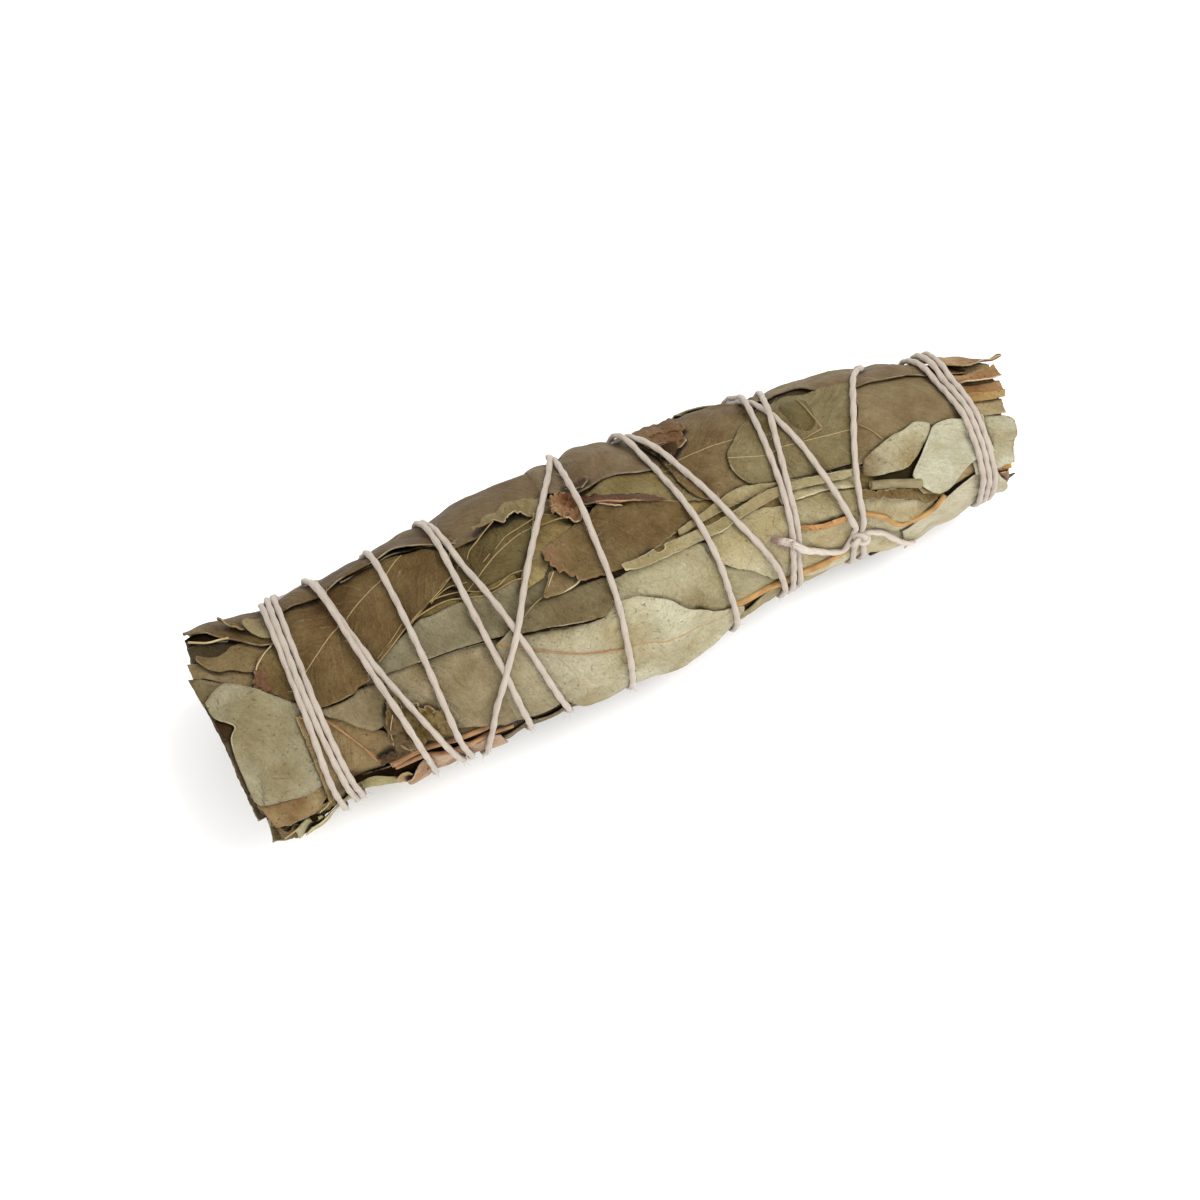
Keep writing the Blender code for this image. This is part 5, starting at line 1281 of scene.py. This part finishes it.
knotMake = {
    "wide": 1.15,  # mm to either side along the bundle, then across it, then up and down
    "long": 0.95,
    "high": 0.42,
    "over": 0.35,  # mm above the highest strand there
    "radius": 0.40,
    "runs": 12,  # mm of string in it
    "points": 90,
    "bleach": 0.6,
    "twist": (1.5, 0.14),  # turns of the plies, and their depth
}
t = np.linspace(0, 2 * np.pi, knotMake["points"])
knotStation, knotBearing = twine["knotAt"]
offKnot = (ringBearing - knotBearing + 180) % 360 - 180
atKnot = np.hypot(ringStation - knotStation, offKnot * bundle["mmPerDegree"])
knotLift = ringLift[atKnot < 1.5].max() + knotMake["over"]
knotPath = onBundle(
    knotStation + knotMake["wide"] * (np.sin(t) + 2 * np.sin(2 * t)) / 2.6,
    knotBearing + knotMake["long"] * (np.cos(t) - 2 * np.cos(2 * t)) / 2.6 / bundle["mmPerDegree"],
    knotLift - knotMake["high"] * np.sin(3 * t),
)
knotUp = np.broadcast_to(surfaceNormal(*twine["knotAt"]), knotPath.shape)
along = np.linspace(0, knotMake["runs"], len(t))
turns, depth = knotMake["twist"]
twist = 1 - depth * (1 - np.abs(np.cos(turns * (angle - 2 * np.pi * along[:, None] / twine["plyTurn"]))))
twist = knotMake["radius"] * twist
rings, faces, _ = tubeMesh(knotPath, knotUp, twist, twist, twine["sides"])
knot = meshFrom("knot_of_the_string", rings, faces, stringMarks(along, 0.0, knotMake["bleach"]), stringCotton)
declare(knot, "cotton_string", "knot")

# loose cotton fibres that stand off the string
fuzz = {"count": 700, "length": (0.5, 1.9), "radius": 0.018, "seed": 12}
rng = np.random.default_rng(fuzz["seed"])
parts = []
for _ in range(fuzz["count"]):
    at = rng.integers(3, len(ringAt) - 3) if rng.random() > 0.1 else rng.integers(0, 9)
    first = max(at - 1, 0)
    ahead, side, up = (v[0] for v in framesAlong(stringPath[first:first + 3], stringUp[first:first + 3]))
    lean = rng.uniform(-1.2, 1.2)
    outward = np.cos(lean) * up + np.sin(lean) * side
    reach = rng.uniform(*fuzz["length"])
    run = ahead * rng.uniform(-1, 1) + outward * rng.uniform(0.2, 0.8)
    run /= np.linalg.norm(run)
    bow = outward * rng.uniform(-0.4, 0.5)
    step = np.linspace(0, 1, 5)[:, None]
    path = stringPath[at] + outward * 0.40 * mm + mm * reach * (run * step + bow * step * (1 - step) * 1.6)
    thin = fuzz["radius"] * np.array([1, 1, 0.9, 0.7, 0.3])[:, None]
    rings, faces, _ = tubeMesh(path, np.broadcast_to(np.cross(run, rng.normal(size=3)), path.shape), thin, thin, 3)
    parts.append((rings, faces, {"stringPoint": np.zeros((15, 3)), "singe": np.full(15, 0.9 * (at < 9))}))
fibres = meshFrom("cotton_fibres", *joined(parts), stringCotton)
declare(fibres, "cotton_string")
print("smudge stick: string wound,", round(length[-1]), "mm")

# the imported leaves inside: bowed sheets one within another, ragged where they were cut or broken
core = {
    "sheets": 10,
    "spacing": 0.82,  # mm from one to the next inside it
    "firstDepth": 0.75,
    "thickness": 0.24,
    "wave": (0.55, 0.25),  # slow and quick
    "columns": 110,
    "rows": 12,
}


def coreSheets(name, node, first, last, ragged, seed):
    # lift = that of the skin, less a depth for each sheet, plus slow waves; each spans part of the way round
    rng = np.random.default_rng(seed)
    parts = []
    for k in range(core["sheets"]):
        begin, span = rng.uniform(0, 360), rng.uniform(190, 330)
        u, v = np.meshgrid(np.linspace(0, 1, core["rows"]), np.linspace(0, 1, core["columns"]), indexing="ij")
        bearing = begin + span * v
        rest = restLift(first + (last - first) * u, bearing)
        depth = core["firstDepth"] + core["spacing"] * k
        slow, quick = core["wave"]
        wave = slow * softNoise(bearing / 24.0, u * 2.2 + 3 * k, seed + k)
        wave = wave + quick * softNoise(bearing / 7.0, u * 3 + k, seed - k)
        outer = ragged * softNoise(bearing / 11.0, k + 0.5, seed + 31)
        outer = outer + 0.5 * ragged * softNoise(bearing / 3.0, k + 0.5, seed + 32)
        tip = last + (outer - 0.6 * ragged) * np.sign(last - first)
        station = first + (tip - first) * u
        points = onBundle(station, bearing, rest - depth + wave)
        faces = gridFaces(*u.shape)
        across = (v - 0.5) * span * 0.12
        attributes = {
            "leafPoint": np.stack([np.abs(station).ravel() + 11 * k, across.ravel(), np.full(u.size, 5.1 * k)], -1),
            "leafColour": np.full((u.size, 3), linear(leafTones["Olive"][0])[:3]) * (0.7 + 0.6 * rng.random()),
            "rim": np.clip(np.abs(tip - station), 0, 5).ravel(),
            # the third mark is painted shade: each inner sheet is darkened by its own random share
            "marks": np.stack([np.zeros(u.size), np.zeros(u.size), np.full(u.size, 0.10 + 0.35 * rng.random())], -1),
        }
        parts.append((points, (faces if last < first else faces[:, ::-1]).tolist(), attributes))
    piece = meshFrom(name, *joined(parts), leafMaterials["Olive"], core["thickness"])
    declare(piece, "leaf_olive", node)


coreSheets("core_leaves_foot", "core_roll_foot", -1.0, -58.4, 0.5, 61)
coreSheets("core_leaves_tip", "core_roll_tip", -2.0, 54.5, 2.2, 97)
print("smudge stick: core packed")

studio = {
    "floorSize": 3.0,  # metres
    "floorShade": 0.92,
    "worldStrength": 1.12,
    "key": ((0.42, -0.05, 0.75), 0.6, 7.0),  # place, width in metres, power
    "front": ((-0.35, -0.9, 0.45), 0.8, 6.0),
    "cameraAt": (-57.4, -119.6, 338.6),  # mm
    "lookAt": (-6.03, -4.0, 14.4),
    "lens": 77.4,
}
half = studio["floorSize"] / 2
corners = np.array([[-half, -half, 0], [half, -half, 0], [half, half, 0], [-half, half, 0]])
floor = meshFrom("floor", corners, np.array([[0, 1, 2, 3]]))
material, tree, shader = newMaterial("whitePaperSweep")
shader.inputs["Base Color"].default_value = (*[studio["floorShade"]] * 3, 1.0)
shader.inputs["Roughness"].default_value = 0.9
floor.data.materials[0] = material

world = bpy.data.worlds.new("studio")
world.use_nodes = True
world.node_tree.nodes["Background"].inputs["Color"].default_value = (1.0, 0.995, 0.985, 1.0)
world.node_tree.nodes["Background"].inputs["Strength"].default_value = studio["worldStrength"]
bpy.context.scene.world = world
for name in ("key", "front"):
    place, width, power = studio[name]
    light = bpy.data.lights.new(name, "AREA")
    light.size, light.energy = width, power
    lamp = bpy.data.objects.new(name, light)
    lamp.location = place
    lamp.rotation_euler = (Vector((0, 0, 0)) - Vector(place)).to_track_quat("-Z", "Y").to_euler()
    bpy.context.scene.collection.objects.link(lamp)

camera = bpy.data.objects.new("camera", bpy.data.cameras.new("camera"))
camera.data.lens, camera.data.sensor_width = studio["lens"], 36.0
camera.data.clip_start = 0.01
camera.location = Vector(studio["cameraAt"]) * mm
camera.rotation_euler = (Vector(studio["lookAt"]) - Vector(studio["cameraAt"])).to_track_quat("-Z", "Y").to_euler()
bpy.context.scene.collection.objects.link(camera)
bpy.context.scene.camera = camera
bpy.context.scene.view_settings.view_transform = "Standard"
print("smudge stick: floor, lights and camera set")
